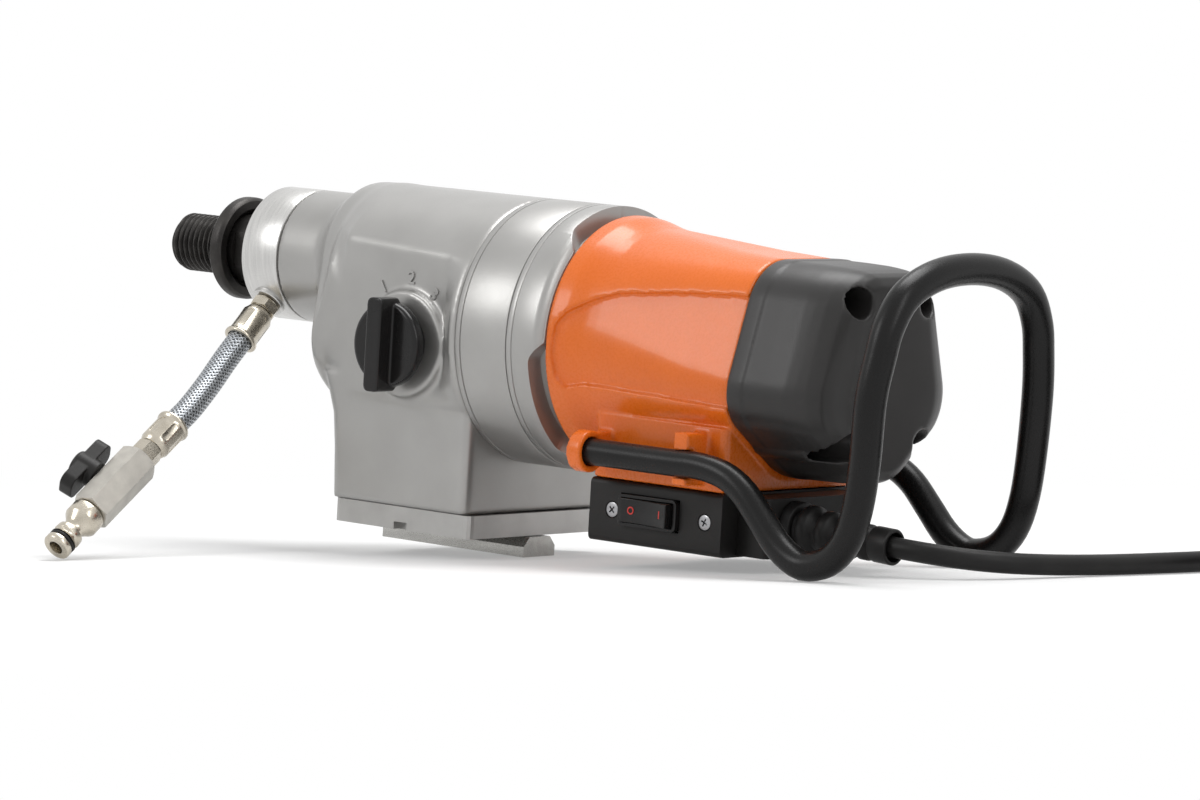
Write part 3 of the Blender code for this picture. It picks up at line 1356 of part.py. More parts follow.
def swept_rings(points, radii, sides):
    """Circles carried along a path without twisting."""
    rings = []
    tangent = (points[1] - points[0]).normalized()
    side = tangent.orthogonal().normalized()
    for index, point in enumerate(points):
        before = points[max(index - 1, 0)]
        after = points[min(index + 1, len(points) - 1)]
        turn = tangent.rotation_difference((after - before).normalized())
        side = (turn @ side).normalized()
        tangent = (after - before).normalized()
        up = tangent.cross(side)
        rings.append([
            point + radii[index] * (cos(2 * pi * k / sides) * side + sin(2 * pi * k / sides) * up)
            for k in range(sides)
        ])
    return rings


def handle_half():
    """The left half of the handle: straight run, drop to the floor, rear bar and half of the arch."""
    y = TUBE_HALF_SPREAD
    bottom_x, bottom_z = TUBE_BOTTOM
    return [
        (CLAMP_FRONT - 0.003, y, TUBE_RUN_Z),
        (-0.166, y, TUBE_RUN_Z),
        (-0.192, y, TUBE_RUN_Z),
        (-0.212, y, TUBE_RUN_Z),
        (-0.228, y, 0.0645),
        (-0.2405, y, 0.0575),
        (-0.252, y, 0.046),
        (-0.263, y, 0.0345),
        (-0.2735, y, 0.0275),
        (bottom_x, y, bottom_z),
        (-0.297, y, 0.0295),
        (-0.307, y, 0.0405),
        (-0.3125, y, 0.057),
        (-0.3152, y, 0.080),
        (-0.3165, y, 0.111),
        (-0.318, y * 0.95, 0.132),
        (-0.319, y * 0.885, 0.148),
        (-0.320, y * 0.72, 0.163),
        (-0.3207, y * 0.40, 0.1725),
    ]


def tube_radius(point):
    """The tube swells a little from its clamped run to the arch."""
    bottom_x, bottom_z = TUBE_BOTTOM
    if point.x > bottom_x:
        share = min(1.0, max(0.0, (point.x + 0.212) / (bottom_x + 0.212)))
        return TUBE_RUN_RADIUS + (TUBE_RADIUS - TUBE_RUN_RADIUS) * share
    share = min(1.0, (point.z - bottom_z) / 0.085)
    return TUBE_RADIUS + (TUBE_ARCH_RADIUS - TUBE_RADIUS) * share


def make_handle(tool):
    """The carrying handle: one bent tube, stepped down to a stub where each end enters its eye."""
    left = handle_half()
    crown = [(-0.321, 0.0, 0.1757)]
    right = [(x, -y, z) for x, y, z in reversed(left)]
    points = smooth_path(left + crown + right, 0.0160)
    radii = [tube_radius(point) for point in points]
    stub = Vector((TUBE_FRONT - CLAMP_FRONT + 0.0032, 0, 0))
    shoulder = Vector((0.00002, 0, 0))
    points = (
        [points[0] + stub, points[0] + shoulder] + points + [points[-1] + shoulder, points[-1] + stub]
    )
    radii = [0.0045, 0.0045] + radii + [0.0045, 0.0045]
    add_piece(
        "carrying_handle",
        skin_rings(swept_rings(points, radii, 10), closed=False),
        "black_tube",
        tool,
        sharp=60,
    )


def make_switch_box(tool):
    """The switch box under the motor, its rocker switch in a raised surround, and two screws."""
    body = box_solid(
        (SWITCH_BOX_REAR, -SWITCH_BOX_HALF_WIDTH, SWITCH_BOX_BOTTOM),
        (SWITCH_BOX_FRONT, SWITCH_BOX_HALF_WIDTH, SWITCH_BOX_TOP),
    )
    bevel_along(body, "X", 0.003, 2)
    box = add_piece("switch_box", body, "black_plastic", tool)
    tail = box_solid(
        (SWITCH_BOX_TAIL, -SWITCH_BOX_TAIL_HALF_WIDTH, SWITCH_BOX_BOTTOM + 0.001),
        (SWITCH_BOX_REAR + 0.001, SWITCH_BOX_TAIL_HALF_WIDTH, SWITCH_BOX_TOP - 0.001),
    )
    unite(box, add_piece("switch_box_tail", bevel_along(tail, "Z", 0.003, 2), "black_plastic", tool))
    wall = 0.003
    hollow = box_solid(
        (SWITCH_BOX_REAR + wall, -SWITCH_BOX_HALF_WIDTH + wall, SWITCH_BOX_BOTTOM + wall),
        (SWITCH_BOX_FRONT - wall, SWITCH_BOX_HALF_WIDTH - 0.012, SWITCH_BOX_TOP + 0.001),
    )
    well = box_solid(
        (ROCKER_X - 0.0195, SWITCH_BOX_HALF_WIDTH - 0.009, ROCKER_Z - 0.0085),
        (ROCKER_X + 0.0195, SWITCH_BOX_HALF_WIDTH + 0.002, ROCKER_Z + 0.0085),
    )
    cut(
        box,
        add_piece("switch_box_hollow", hollow, "black_plastic", tool),
        add_piece("switch_well", well, "black_plastic", tool),
    )
    make_rocker(tool)
    for number, x in enumerate(PANEL_SCREW_X, 1):
        make_panel_screw(tool, box, number, x)


def make_rocker(tool):
    """The switch's surround, which fills the well, and the rocker that tips in it."""
    face = SWITCH_BOX_HALF_WIDTH
    surround = box_solid(
        (ROCKER_X - 0.0195 + GAP, face - 0.0087, ROCKER_Z - 0.0085 + GAP),
        (ROCKER_X + 0.0195 - GAP, face + 0.0028, ROCKER_Z + 0.0085 - GAP),
    )
    window = box_solid(
        (ROCKER_X - ROCKER_HALF_LENGTH - RUNNING, face - 0.0055, ROCKER_Z - ROCKER_HALF_HEIGHT - GAP),
        (ROCKER_X + ROCKER_HALF_LENGTH + RUNNING, face + 0.004, ROCKER_Z + ROCKER_HALF_HEIGHT + GAP),
    )
    body = add_piece("switch_surround", bevel_along(surround, "Y", 0.002, 2), "black_plastic", tool)
    cut(body, add_piece("switch_window", window, "black_plastic", tool))
    pivot = (ROCKER_X, face - 0.001, ROCKER_Z)
    half = ROCKER_HALF_LENGTH
    top = face + 0.0040
    profile = (
        (ROCKER_X - half, face - 0.0022),
        (ROCKER_X - 0.0028, face - 0.0048),
        (ROCKER_X + 0.0028, face - 0.0048),
        (ROCKER_X + half, face - 0.0022),
        (ROCKER_X + half, top + 0.0014),
        (ROCKER_X + half * 0.5, top + 0.0002),
        (ROCKER_X, top - 0.0004),
        (ROCKER_X - half * 0.5, top + 0.0002),
        (ROCKER_X - half, top + 0.0014),
    )
    height = ROCKER_HALF_HEIGHT
    rocker = section_prism(profile, 2 * height, lambda u, v, w: (u, v, ROCKER_Z - height + w))
    tipped = Matrix.Rotation(-ROCKER_TIP, 3, "Z")
    bmesh.ops.rotate(rocker, cent=pivot, matrix=tipped, verts=rocker.verts)
    add_piece("rocker_switch", rocker, "black_plastic", tool, origin=pivot)


def make_panel_screw(tool, box, number, x):
    """A countersunk screw beside the switch."""
    face = SWITCH_BOX_HALF_WIDTH
    place = Matrix.Translation((x, 0, ROCKER_Z - 0.001))
    turn = Vector((1, 0, 0)).rotation_difference(Vector((0, 1, 0))).to_matrix().to_4x4()
    hole = [(face - 0.010, 0), (face - 0.010, 0.0018), (face - 0.003, 0.0018),
            (face - 0.0004, 0.0043), (face + 0.001, 0.0043), (face + 0.001, 0)]
    screw = [(face - 0.0095, 0), (face - 0.0095, 0.0014), (face - 0.0028, 0.0014),
             (face - 0.0002, 0.0038), (face - 0.0002, 0)]
    shapes = []
    for outline in (hole, screw):
        shape = turned_solid(outline, sides=14)
        bmesh.ops.transform(shape, matrix=place @ turn, verts=shape.verts)
        shapes.append(shape)
    cut(box, add_piece(f"panel_hole_{number}", shapes[0], "black_plastic", tool))
    add_piece(f"panel_screw_{number}", shapes[1], "dark_steel", tool)


def make_port_and_ferrule(tool):
    """The hex fitting in the collar's port, and the ferrule crimped on the hose's upper end."""
    centre = Vector((PORT_X, 0, SPINDLE_AXIS_Z))
    direction = port_direction()
    turn = Vector((1, 0, 0)).rotation_difference(direction).to_matrix().to_4x4()
    place = Matrix.Translation(centre) @ turn
    stub = turned_solid(
        [(0.026, 0.0025), (0.026, 0.0045), (0.0378, 0.0045), (0.0378, 0.0066), (0.0385, 0.0066),
         (0.0445, 0.0066), (0.0445, 0.0025)],
        sides=12,
    )
    hexagon = turned_solid([(0.0379, 0.0032), (0.0379, 0.0081), (0.0441, 0.0081), (0.0441, 0.0032)],
                           sides=6)
    for shape in (stub, hexagon):
        bmesh.ops.transform(shape, matrix=place, verts=shape.verts)
    fitting = add_piece("water_port_fitting", stub, "nickel", tool)
    unite(fitting, add_piece("port_hexagon", hexagon, "nickel", tool))
    ferrule = turned_solid(ferrule_outline(0.0450), sides=SMALL_SIDES)
    bmesh.ops.transform(ferrule, matrix=place, verts=ferrule.verts)
    add_piece("upper_hose_ferrule", ferrule, "nickel", tool)


def ferrule_outline(start):
    """A crimped sleeve that opens away from start, with a rolled rim at its open end."""
    bore = HOSE_RADIUS + GAP
    end = start + FERRULE_LENGTH
    return [
        (start, 0.0030),
        (start, 0.0072),
        (start + 0.0030, 0.0086),
        (end - 0.0022, 0.0086),
        (end - 0.0018, 0.0096),
        (end - 0.0004, 0.0096),
        (end, 0.0090),
        (end, bore),
        (start + 0.0025, bore),
        (start + 0.0025, 0.0030),
    ]


def valve_frame_matrix():
    """The frame of the valve lying on the floor: X along the water's way to the nipple."""
    forward = Vector((
        sin(VALVE_AXIS_DRIFT),
        cos(VALVE_AXIS_SLOPE) * cos(VALVE_AXIS_DRIFT),
        -sin(VALVE_AXIS_SLOPE) * cos(VALVE_AXIS_DRIFT),
    )).normalized()
    ahead = Vector((1, 0, 0))
    ahead = (ahead - forward * ahead.dot(forward)).normalized()
    above = ahead.cross(forward)
    turned_ahead = cos(VALVE_STEM_TURN) * ahead + sin(VALVE_STEM_TURN) * above
    across = turned_ahead.cross(forward)
    basis = Matrix((forward, across, turned_ahead)).transposed().to_4x4()
    return Matrix.Translation(valve_start()) @ basis


def valve_start():
    """The end of the lower ferrule's mouth, set so that the nipple's rim rests on the floor."""
    reach = FERRULE_LENGTH + HOSE_NUT_LENGTH + VALVE_LENGTH + NIPPLE_LENGTH
    drop = reach * sin(VALVE_AXIS_SLOPE) + NIPPLE_RADIUS * cos(VALVE_AXIS_SLOPE)
    return Vector((VALVE_AXIS_START.x, VALVE_AXIS_START.y, FLOOR_Z + drop))


def make_valve(valve):
    """The hose's lower ferrule, the nut, the ball valve with its lever, and the hose nipple."""
    ferrule = [(FERRULE_LENGTH - x, r) for x, r in ferrule_outline(0.0)]
    add_piece("lower_hose_ferrule", turned_solid(ferrule, sides=SMALL_SIDES), "nickel", valve)
    nut_start = FERRULE_LENGTH + GAP
    nut_end = FERRULE_LENGTH + HOSE_NUT_LENGTH
    nut = [(nut_start, 0.003), (nut_start, 0.0078), (nut_end, 0.0078), (nut_end, 0.003)]
    add_piece("hose_nut", turned_solid(nut, sides=6), "nickel", valve)
    body_start = nut_end + GAP
    body_end = nut_end + VALVE_LENGTH
    corner = VALVE_FLAT_RADIUS / cos(pi / 6)
    outline = [(body_start, 0.0045), (body_start, corner - 0.001), (body_start + 0.0008, corner),
               (body_end - 0.0008, corner), (body_end, corner - 0.001), (body_end, 0.0045)]
    body = add_piece("valve_body", turned_solid(outline, sides=6), "bright_steel", valve)
    middle = (body_start + body_end) / 2
    make_valve_stem(valve, body, middle)
    make_nipple(valve, body_end + GAP)


def make_valve_stem(valve, body, middle):
    """The ball with its stem, and the butterfly lever on the stem."""
    pivot = (middle, 0, 0)
    well = radial_rod("stem_well", pivot, (0, 0, 1), 0.0, 0.020, 0.0035 + GAP, valve, 14)
    chamber = bmesh.new()
    bmesh.ops.create_icosphere(chamber, subdivisions=2, radius=0.0073)
    bmesh.ops.translate(chamber, vec=pivot, verts=chamber.verts)
    cut(body, well, add_piece("ball_chamber", chamber, "bright_steel", valve))
    ball = bmesh.new()
    bmesh.ops.create_icosphere(ball, subdivisions=2, radius=0.0067)
    bmesh.ops.translate(ball, vec=pivot, verts=ball.verts)
    stem = add_piece("valve_ball_and_stem", ball, "bright_steel", valve, origin=pivot)
    unite(stem, radial_rod("stem_rod", pivot, (0, 0, 1), 0.003, 0.0170, 0.0030, valve, 14))
    bore = radial_rod("ball_bore", pivot, (1, 0, 0), -0.009, 0.009, 0.0038, valve, 12)
    cut(stem, bore)

    hub_low = VALVE_FLAT_RADIUS + 0.0010
    hub = turned_solid(
        [(hub_low, 0), (hub_low, 0.0078), (0.0246, 0.0078), (0.0258, 0.0066), (0.0258, 0)],
        sides=SMALL_SIDES,
    )
    upright = Vector((1, 0, 0)).rotation_difference(Vector((0, 0, 1))).to_matrix().to_4x4()
    bmesh.ops.transform(hub, matrix=Matrix.Translation(pivot) @ upright, verts=hub.verts)
    lever = add_piece("valve_lever", hub, "black_plastic", valve, origin=pivot)
    wings = box_solid((middle - 0.018, -0.0074, 0.0155), (middle + 0.018, 0.0074, 0.0232))
    unite(lever, add_piece("lever_wings", bevel_along(wings, "Z", 0.0012, 2), "black_plastic", valve))
    socket = radial_rod("lever_socket", pivot, (0, 0, 1), 0.008, 0.0173, 0.0030 + GAP, valve, 14)
    cut(lever, socket)


def make_nipple(valve, start):
    """The quick-connect nipple, bored through, with its O-ring near the tip."""
    end = start + NIPPLE_LENGTH - GAP
    outline = [
        (start, 0.0040),
        (start, 0.0088),
        (start + 0.0012, 0.0097),
        (start + 0.0085, 0.0097),
        (start + 0.0125, 0.0064),
        (start + 0.0160, 0.0056),
        (start + 0.0172, 0.0076),
        (start + 0.0205, NIPPLE_RADIUS),
        (start + 0.0215, 0.0070),
        (start + 0.0235, NIPPLE_RADIUS),
        (end - 0.0066, NIPPLE_RADIUS),
        (end - 0.0066, 0.0058),
        (end - 0.0034, 0.0058),
        (end - 0.0034, NIPPLE_RADIUS),
        (end - 0.0006, NIPPLE_RADIUS),
        (end, NIPPLE_RADIUS - 0.0006),
        (end, 0.0040),
    ]
    add_piece("hose_nipple", turned_solid(outline, sides=SMALL_SIDES), "nickel", valve)
    section = ring_outline(end - 0.0066 + GAP, end - 0.0034 - GAP, 0.0058 + GAP, 0.0078, 0.0007)
    add_piece("nipple_o_ring", turned_solid(section, sides=SMALL_SIDES), "black_rubber", valve)


def free_tube(name, points, radius, material):
    """A cord as a curve with filled ends."""
    curve = bpy.data.curves.new(name, "CURVE")
    curve.dimensions = "3D"
    curve.bevel_depth = radius
    curve.bevel_resolution = 2
    curve.use_fill_caps = True
    spline = curve.splines.new("POLY")
    spline.points.add(len(points) - 1)
    for slot, point in zip(spline.points, points):
        slot.co = (*point, 1.0)
    curve.materials.append(finish(material))
    tube = bpy.data.objects.new(name, curve)
    bpy.context.scene.collection.objects.link(tube)
    return tube


def make_hose(tool_matrix):
    """The braided hose, from inside its upper ferrule to inside the lower one, sagging a little."""
    direction = tool_matrix.to_3x3() @ port_direction()
    centre = tool_matrix @ Vector((PORT_X, 0, SPINDLE_AXIS_Z))
    upper_end = centre + direction * (0.0450 + 0.0025 + GAP)
    upper_mouth = centre + direction * (0.0450 + FERRULE_LENGTH + 0.002)
    valve = valve_frame_matrix()
    forward = (valve.to_3x3() @ Vector((1, 0, 0))).normalized()
    lower_mouth = valve.translation - forward * 0.002
    lower_end = valve.translation + forward * (FERRULE_LENGTH - 0.0025 - GAP)
    span = (lower_mouth - upper_mouth).length
    first_bend = upper_mouth + direction * span * 0.33
    second_bend = lower_mouth - forward * span * 0.33
    middle = (first_bend + second_bend) / 2
    route = [upper_end, upper_mouth, upper_mouth.lerp(first_bend, 0.6), middle,
             lower_mouth.lerp(second_bend, 0.6), lower_mouth, lower_end]
    free_tube("water_hose", smooth_path(route, 0.0055), HOSE_RADIUS - 0.0001, "braid")


def lead_matrix():
    """Carries a shape made along X to the lead's exit, sheared so that its end stays flat on the box."""
    basis = Matrix((LEAD_DIRECTION, (0, -1, 0), (0, 0, 1))).transposed().to_4x4()
    return Matrix.Translation(LEAD_EXIT) @ basis


def make_lead_exit(tool):
    """The ribbed bend relief on the switch box and the sleeve on its end."""
    foot = 0.006
    outline = [(0, CORD_DIAMETER / 2 + GAP), (0, 0.0135), (foot, 0.0135), (foot, 0.0100)]
    pitch = (BOOT_LENGTH - foot) / BOOT_RIBS
    for rib in range(BOOT_RIBS):
        share = rib / (BOOT_RIBS - 1)
        crest = 0.0128 + (0.0092 - 0.0128) * share
        groove = 0.0096 + (0.0078 - 0.0096) * share
        start = foot + rib * pitch
        outline += [(start + 0.15 * pitch, groove), (start + 0.35 * pitch, crest),
                    (start + 0.75 * pitch, crest), (start + 0.95 * pitch, groove)]
    outline += [(BOOT_LENGTH, 0.0075), (BOOT_LENGTH, CORD_DIAMETER / 2 + GAP)]
    boot = turned_solid(outline, sides=SMALL_SIDES)
    start = BOOT_LENGTH + GAP
    end = start + SLEEVE_LENGTH
    sleeve = [
        (start, CORD_DIAMETER / 2 + GAP),
        (start, SLEEVE_RADIUS - 0.0008),
        (start + 0.0008, SLEEVE_RADIUS),
        (end - 0.0006, SLEEVE_RADIUS),
        (end, SLEEVE_RADIUS - 0.0006),
        (end, SLEEVE_RADIUS - 0.0018),
        (start + 0.003, SLEEVE_RADIUS - 0.0018),
        (start + 0.003, CORD_DIAMETER / 2 + GAP),
    ]
    for name, shape in (("cable_boot", boot), ("cable_sleeve", turned_solid(sleeve, sides=SMALL_SIDES))):
        bmesh.ops.transform(shape, matrix=lead_matrix(), verts=shape.verts)
        add_piece(name, shape, "black_rubber", tool)


def cable_route(tool_matrix):
    """The mains lead's chosen points, from inside the boot, down to the floor and on to the coil."""
    lead = tool_matrix @ lead_matrix()
    inside = lead @ Vector((0.002, 0, 0))
    boot_end = lead @ Vector((BOOT_LENGTH, 0, 0))
    sleeve_end = lead @ Vector((BOOT_LENGTH + SLEEVE_LENGTH + 0.004, 0, 0))
    floor = FLOOR_Z + CORD_DIAMETER / 2
    return [
        inside,
        boot_end,
        sleeve_end,
        Vector((-0.3300, 0.0078, floor + 0.0052)),
        Vector((-0.3470, -0.0090, floor + 0.0026)),
        Vector((-0.3590, -0.0360, floor + 0.0008)),
        Vector((-0.3700, -0.0640, floor)),
        Vector((-0.3840, -0.0950, floor)),
        Vector((-0.3930, -0.1280, floor)),
        coil_entry(),
    ]


def coil_entry():
    """The point where the lead lies along the coil's outer wall, about to become its first turn."""
    reach = coil_radii()[1] + CORD_DIAMETER / 2 + GAP
    centre = Vector((*COIL_CENTRE, FLOOR_Z + CORD_DIAMETER / 2))
    return centre + reach * Vector((cos(COIL_ENTRY_ANGLE), sin(COIL_ENTRY_ANGLE), 0))


def coil_radii():
    half = COIL_TURNS_ACROSS * CORD_DIAMETER / 2
    return COIL_MEAN_RADIUS - half, COIL_MEAN_RADIUS + half


def upright_ring(inner, outer, low, high, centre, sides):
    """A ring section turned about a vertical axis."""
    outline = ((inner, low), (outer, low), (outer, high), (inner, high))
    rings = []
    for step in range(sides):
        angle = 2 * pi * step / sides
        rings.append([
            (centre[0] + r * cos(angle), centre[1] + r * sin(angle), z) for r, z in outline
        ])
    return skin_rings(rings, closed=True)


def make_cord(tool_matrix):
    """The lead's visible run, the coil of the rest and the plug that lies on the coil."""
    free_tube(
        "mains_cable",
        smooth_path(cable_route(tool_matrix), 2.4 * CORD_DIAMETER),
        CORD_DIAMETER / 2,
        "black_rubber",
    )
    inner, outer = coil_radii()
    top = FLOOR_Z + COIL_TURNS_HIGH * CORD_DIAMETER
    coil = upright_ring(inner, outer, FLOOR_Z, top, COIL_CENTRE, COIL_SIDES)
    add_piece("cable_coil", coil, "black_rubber", None)
    outwards = Vector((cos(PLUG_ANGLE), sin(PLUG_ANGLE), 0))
    onwards = Vector((outwards.y, -outwards.x, 0))
    basis = Matrix((onwards, -outwards, (0, 0, 1))).transposed().to_4x4()
    start = Vector((*COIL_CENTRE, top + GAP + PLUG_RADIUS)) + outwards * COIL_MEAN_RADIUS
    plug_frame = add_frame("plug_frame", Matrix.Translation(start) @ basis)
    make_plug(plug_frame)


def make_plug(plug_frame):
    """A two-pin mains plug with a moulded body and a tapered neck."""
    outline = [
        (0.012, 0),
        (0.012, CORD_DIAMETER / 2 + GAP),
        (0.0, CORD_DIAMETER / 2 + GAP),
        (0.0, 0.0072),
        (0.016, 0.0090),
        (0.020, 0.0150),
        (0.034, PLUG_RADIUS),
        (0.048, PLUG_RADIUS),
        (0.050, 0.0170),
        (0.050, 0),
    ]
    plug = add_piece("mains_plug", turned_solid(outline, sides=SMALL_SIDES), "black_rubber", plug_frame)
    for side in (-1, 1):
        pin = turned_solid(rod_outline(0.045, 0.069, 0.0024, 0.0008), axis_y=side * 0.0095, sides=12)
        unite(plug, add_piece(f"plug_pin_{side}", pin, "nickel", plug_frame))


def build():
    remove_scene_objects()
    tool_matrix = Matrix.Rotation(-TILT, 4, "Y")
    tool = add_frame("tool_frame", tool_matrix)
    make_front_casing(tool)
    make_ring_casings(tool)
    make_base(tool)
    make_collar(tool)
    make_spindle(tool)
    make_speed_gears(tool)
    make_intermediate_shaft(tool)
    make_selector(tool)
    make_motor_core(tool)
    make_motor_housing(tool)
    make_end_cap(tool)
    make_handle(tool)
    make_switch_box(tool)
    make_port_and_ferrule(tool)
    make_lead_exit(tool)
    valve = add_frame("valve_frame", valve_frame_matrix())
    make_valve(valve)
    make_hose(tool_matrix)
    make_cord(tool_matrix)


build()
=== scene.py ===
import json
from math import atan2, cos, hypot, pi, radians, sin

import bmesh
import bpy
from mathutils import Matrix, Vector


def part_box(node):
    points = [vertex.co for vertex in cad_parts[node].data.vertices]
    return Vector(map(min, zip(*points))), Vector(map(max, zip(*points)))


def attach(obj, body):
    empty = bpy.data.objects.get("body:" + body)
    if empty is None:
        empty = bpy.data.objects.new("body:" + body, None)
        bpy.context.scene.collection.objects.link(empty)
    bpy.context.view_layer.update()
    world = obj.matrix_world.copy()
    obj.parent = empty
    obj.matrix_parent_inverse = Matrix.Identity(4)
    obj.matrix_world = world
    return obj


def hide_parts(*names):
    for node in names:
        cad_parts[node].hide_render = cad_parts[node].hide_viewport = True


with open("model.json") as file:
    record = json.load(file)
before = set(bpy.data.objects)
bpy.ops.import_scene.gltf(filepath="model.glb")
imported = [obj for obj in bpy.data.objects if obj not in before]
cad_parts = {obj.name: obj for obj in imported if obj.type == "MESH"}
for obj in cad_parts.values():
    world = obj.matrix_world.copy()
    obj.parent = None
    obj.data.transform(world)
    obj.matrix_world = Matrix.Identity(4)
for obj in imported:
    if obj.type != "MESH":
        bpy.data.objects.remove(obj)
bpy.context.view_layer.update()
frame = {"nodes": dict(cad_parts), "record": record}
nodes = frame["nodes"]
record = frame["record"]
GAP = 0.0003

# ---------------------------------------------------------------------------
# The tool's own frame: X along the spindle, Z away from the shoe. The tool stands tilted on the floor,
# so every piece is made in this frame and then carried into the standing one.
mounts = {mount["name"]: mount for mount in record["mounts"]}
ahead = Vector(mounts["spindle_nose"]["axis"]).normalized()
above = -Vector(mounts["carriage_face"]["axis"]).normalized()
left = above.cross(ahead).normalized()
TOOL = Matrix.Translation(Vector(mounts["carriage_face"]["pos_m"]))
TOOL = TOOL @ Matrix((ahead, left, above)).transposed().to_4x4()
FROM_WORLD = TOOL.inverted()
FLOOR_Z = min(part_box(name)[0].z for name in ("mains_cable", "cable_coil", "mounting_shoe"))


def tool_box(name):
    """The lowest and highest corner of a CAD node in the tool's frame."""
    points = [FROM_WORLD @ vertex.co for vertex in nodes[name].data.vertices]
    low = Vector(min(point[axis] for point in points) for axis in range(3))
    high = Vector(max(point[axis] for point in points) for axis in range(3))
    return low, high


# ---------------------------------------------------------------------------
# Camera: a long lens from the tool's rear left, level with the spindle and looking slightly down.
# It stands over three metres away, so the tool's edges stay nearly parallel.
camera_data = bpy.data.cameras.new("camera")
camera_data.lens = 187.8
camera = bpy.data.objects.new("camera", camera_data)
bpy.context.scene.collection.objects.link(camera)
camera.location = (-2.1969, 2.5074, 0.1982)
LOOK_DOWN = radians(2.07)
HEADING = (0.643, -0.766)
look = Vector((HEADING[0] * cos(LOOK_DOWN), HEADING[1] * cos(LOOK_DOWN), -sin(LOOK_DOWN)))
camera.rotation_euler = look.to_track_quat("-Z", "Y").to_euler()
bpy.context.scene.camera = camera

# ---------------------------------------------------------------------------
# Mains lead: 10.8 mm rubber cable out of the ribbed boot, down to the floor and along it, then nine
# turns of a neat coil, three across and three high, that ends in its plug lying on the coil.


def group_interface(tree, inputs, outputs):
    """Gives a node group its sockets, and returns its input and output nodes."""
    for name, kind, default in inputs:
        socket = tree.interface.new_socket(name, in_out="INPUT", socket_type=kind)
        socket.default_value = default
    for name, kind in outputs:
        tree.interface.new_socket(name, in_out="OUTPUT", socket_type=kind)
    return tree.nodes.new("NodeGroupInput"), tree.nodes.new("NodeGroupOutput")


def link(tree, source, output, target, socket):
    """Joins two sockets by name or number."""
    tree.links.new(source.outputs[output], target.inputs[socket])


def make_detail_group():
    """Grain and mottling: tints a colour, spreads the roughness and raises a fine bump."""
    tree = bpy.data.node_groups.new("surface_detail", "ShaderNodeTree")
    start, end = group_interface(
        tree,
        (
            ("Light Color", "NodeSocketColor", (0.5, 0.5, 0.5, 1)),
            ("Dark Color", "NodeSocketColor", (0.4, 0.4, 0.4, 1)),
            ("Mottle Scale", "NodeSocketFloat", 60.0),
            ("Grain Scale", "NodeSocketFloat", 1500.0),
            ("Stretch", "NodeSocketVector", (1.0, 1.0, 1.0)),
            ("Roughness Low", "NodeSocketFloat", 0.3),
            ("Roughness High", "NodeSocketFloat", 0.4),
            ("Bump Height", "NodeSocketFloat", 0.00004),
        ),
        (("Color", "NodeSocketColor"), ("Roughness", "NodeSocketFloat"), ("Height", "NodeSocketFloat")),
    )
    place = tree.nodes.new("ShaderNodeTexCoord")
    stretch = tree.nodes.new("ShaderNodeVectorMath")
    stretch.operation = "MULTIPLY"
    link(tree, place, "Object", stretch, 0)
    link(tree, start, "Stretch", stretch, 1)
    mottle = tree.nodes.new("ShaderNodeTexNoise")
    mottle.inputs["Detail"].default_value = 4.0
    link(tree, stretch, 0, mottle, "Vector")
    link(tree, start, "Mottle Scale", mottle, "Scale")
    grain = tree.nodes.new("ShaderNodeTexNoise")
    grain.inputs["Detail"].default_value = 2.0
    link(tree, stretch, 0, grain, "Vector")
    link(tree, start, "Grain Scale", grain, "Scale")
    spread = tree.nodes.new("ShaderNodeMapRange")
    spread.inputs["From Min"].default_value = 0.3
    spread.inputs["From Max"].default_value = 0.7
    link(tree, mottle, "Fac", spread, "Value")
    tint = tree.nodes.new("ShaderNodeMix")
    tint.data_type = "RGBA"
    link(tree, spread, 0, tint, 0)
    tree.links.new(start.outputs["Dark Color"], tint.inputs[6])
    tree.links.new(start.outputs["Light Color"], tint.inputs[7])
    tree.links.new(tint.outputs[2], end.inputs["Color"])
    rough = tree.nodes.new("ShaderNodeMapRange")
    rough.inputs["From Min"].default_value = 0.3
    rough.inputs["From Max"].default_value = 0.7
    link(tree, grain, "Fac", rough, "Value")
    link(tree, start, "Roughness Low", rough, "To Min")
    link(tree, start, "Roughness High", rough, "To Max")
    link(tree, rough, 0, end, "Roughness")
    height = tree.nodes.new("ShaderNodeMath")
    height.operation = "MULTIPLY"
    link(tree, grain, "Fac", height, 0)
    link(tree, start, "Bump Height", height, 1)
    link(tree, height, 0, end, "Height")
    return tree


detail_group = make_detail_group()


def finish_material(name, light, dark, rough, metallic=0.0, coat=0.0, mottle=60.0, grain=1500.0,
                    stretch=(1, 1, 1), bump=0.00004, specular=0.5, coat_roughness=0.08):
    """A Principled material whose colour, roughness and bump come from the detail group."""
    material = bpy.data.materials.new(name)
    material.use_nodes = True
    tree = material.node_tree
    shader = tree.nodes["Principled BSDF"]
    shader.inputs["Metallic"].default_value = metallic
    shader.inputs["Coat Weight"].default_value = coat
    shader.inputs["Coat Roughness"].default_value = coat_roughness
    shader.inputs["Specular IOR Level"].default_value = specular
    detail = tree.nodes.new("ShaderNodeGroup")
    detail.node_tree = detail_group
    values = {
        "Light Color": (*light, 1),
        "Dark Color": (*dark, 1),
        "Mottle Scale": mottle,
        "Grain Scale": grain,
        "Stretch": stretch,
        "Roughness Low": rough[0],
        "Roughness High": rough[1],
        "Bump Height": bump,
    }
    for socket, value in values.items():
        detail.inputs[socket].default_value = value
    link(tree, detail, "Color", shader, "Base Color")
    link(tree, detail, "Roughness", shader, "Roughness")
    raised = tree.nodes.new("ShaderNodeBump")
    raised.inputs["Distance"].default_value = 1.0
    link(tree, detail, "Height", raised, "Height")
    link(tree, raised, "Normal", shader, "Normal")
    return material


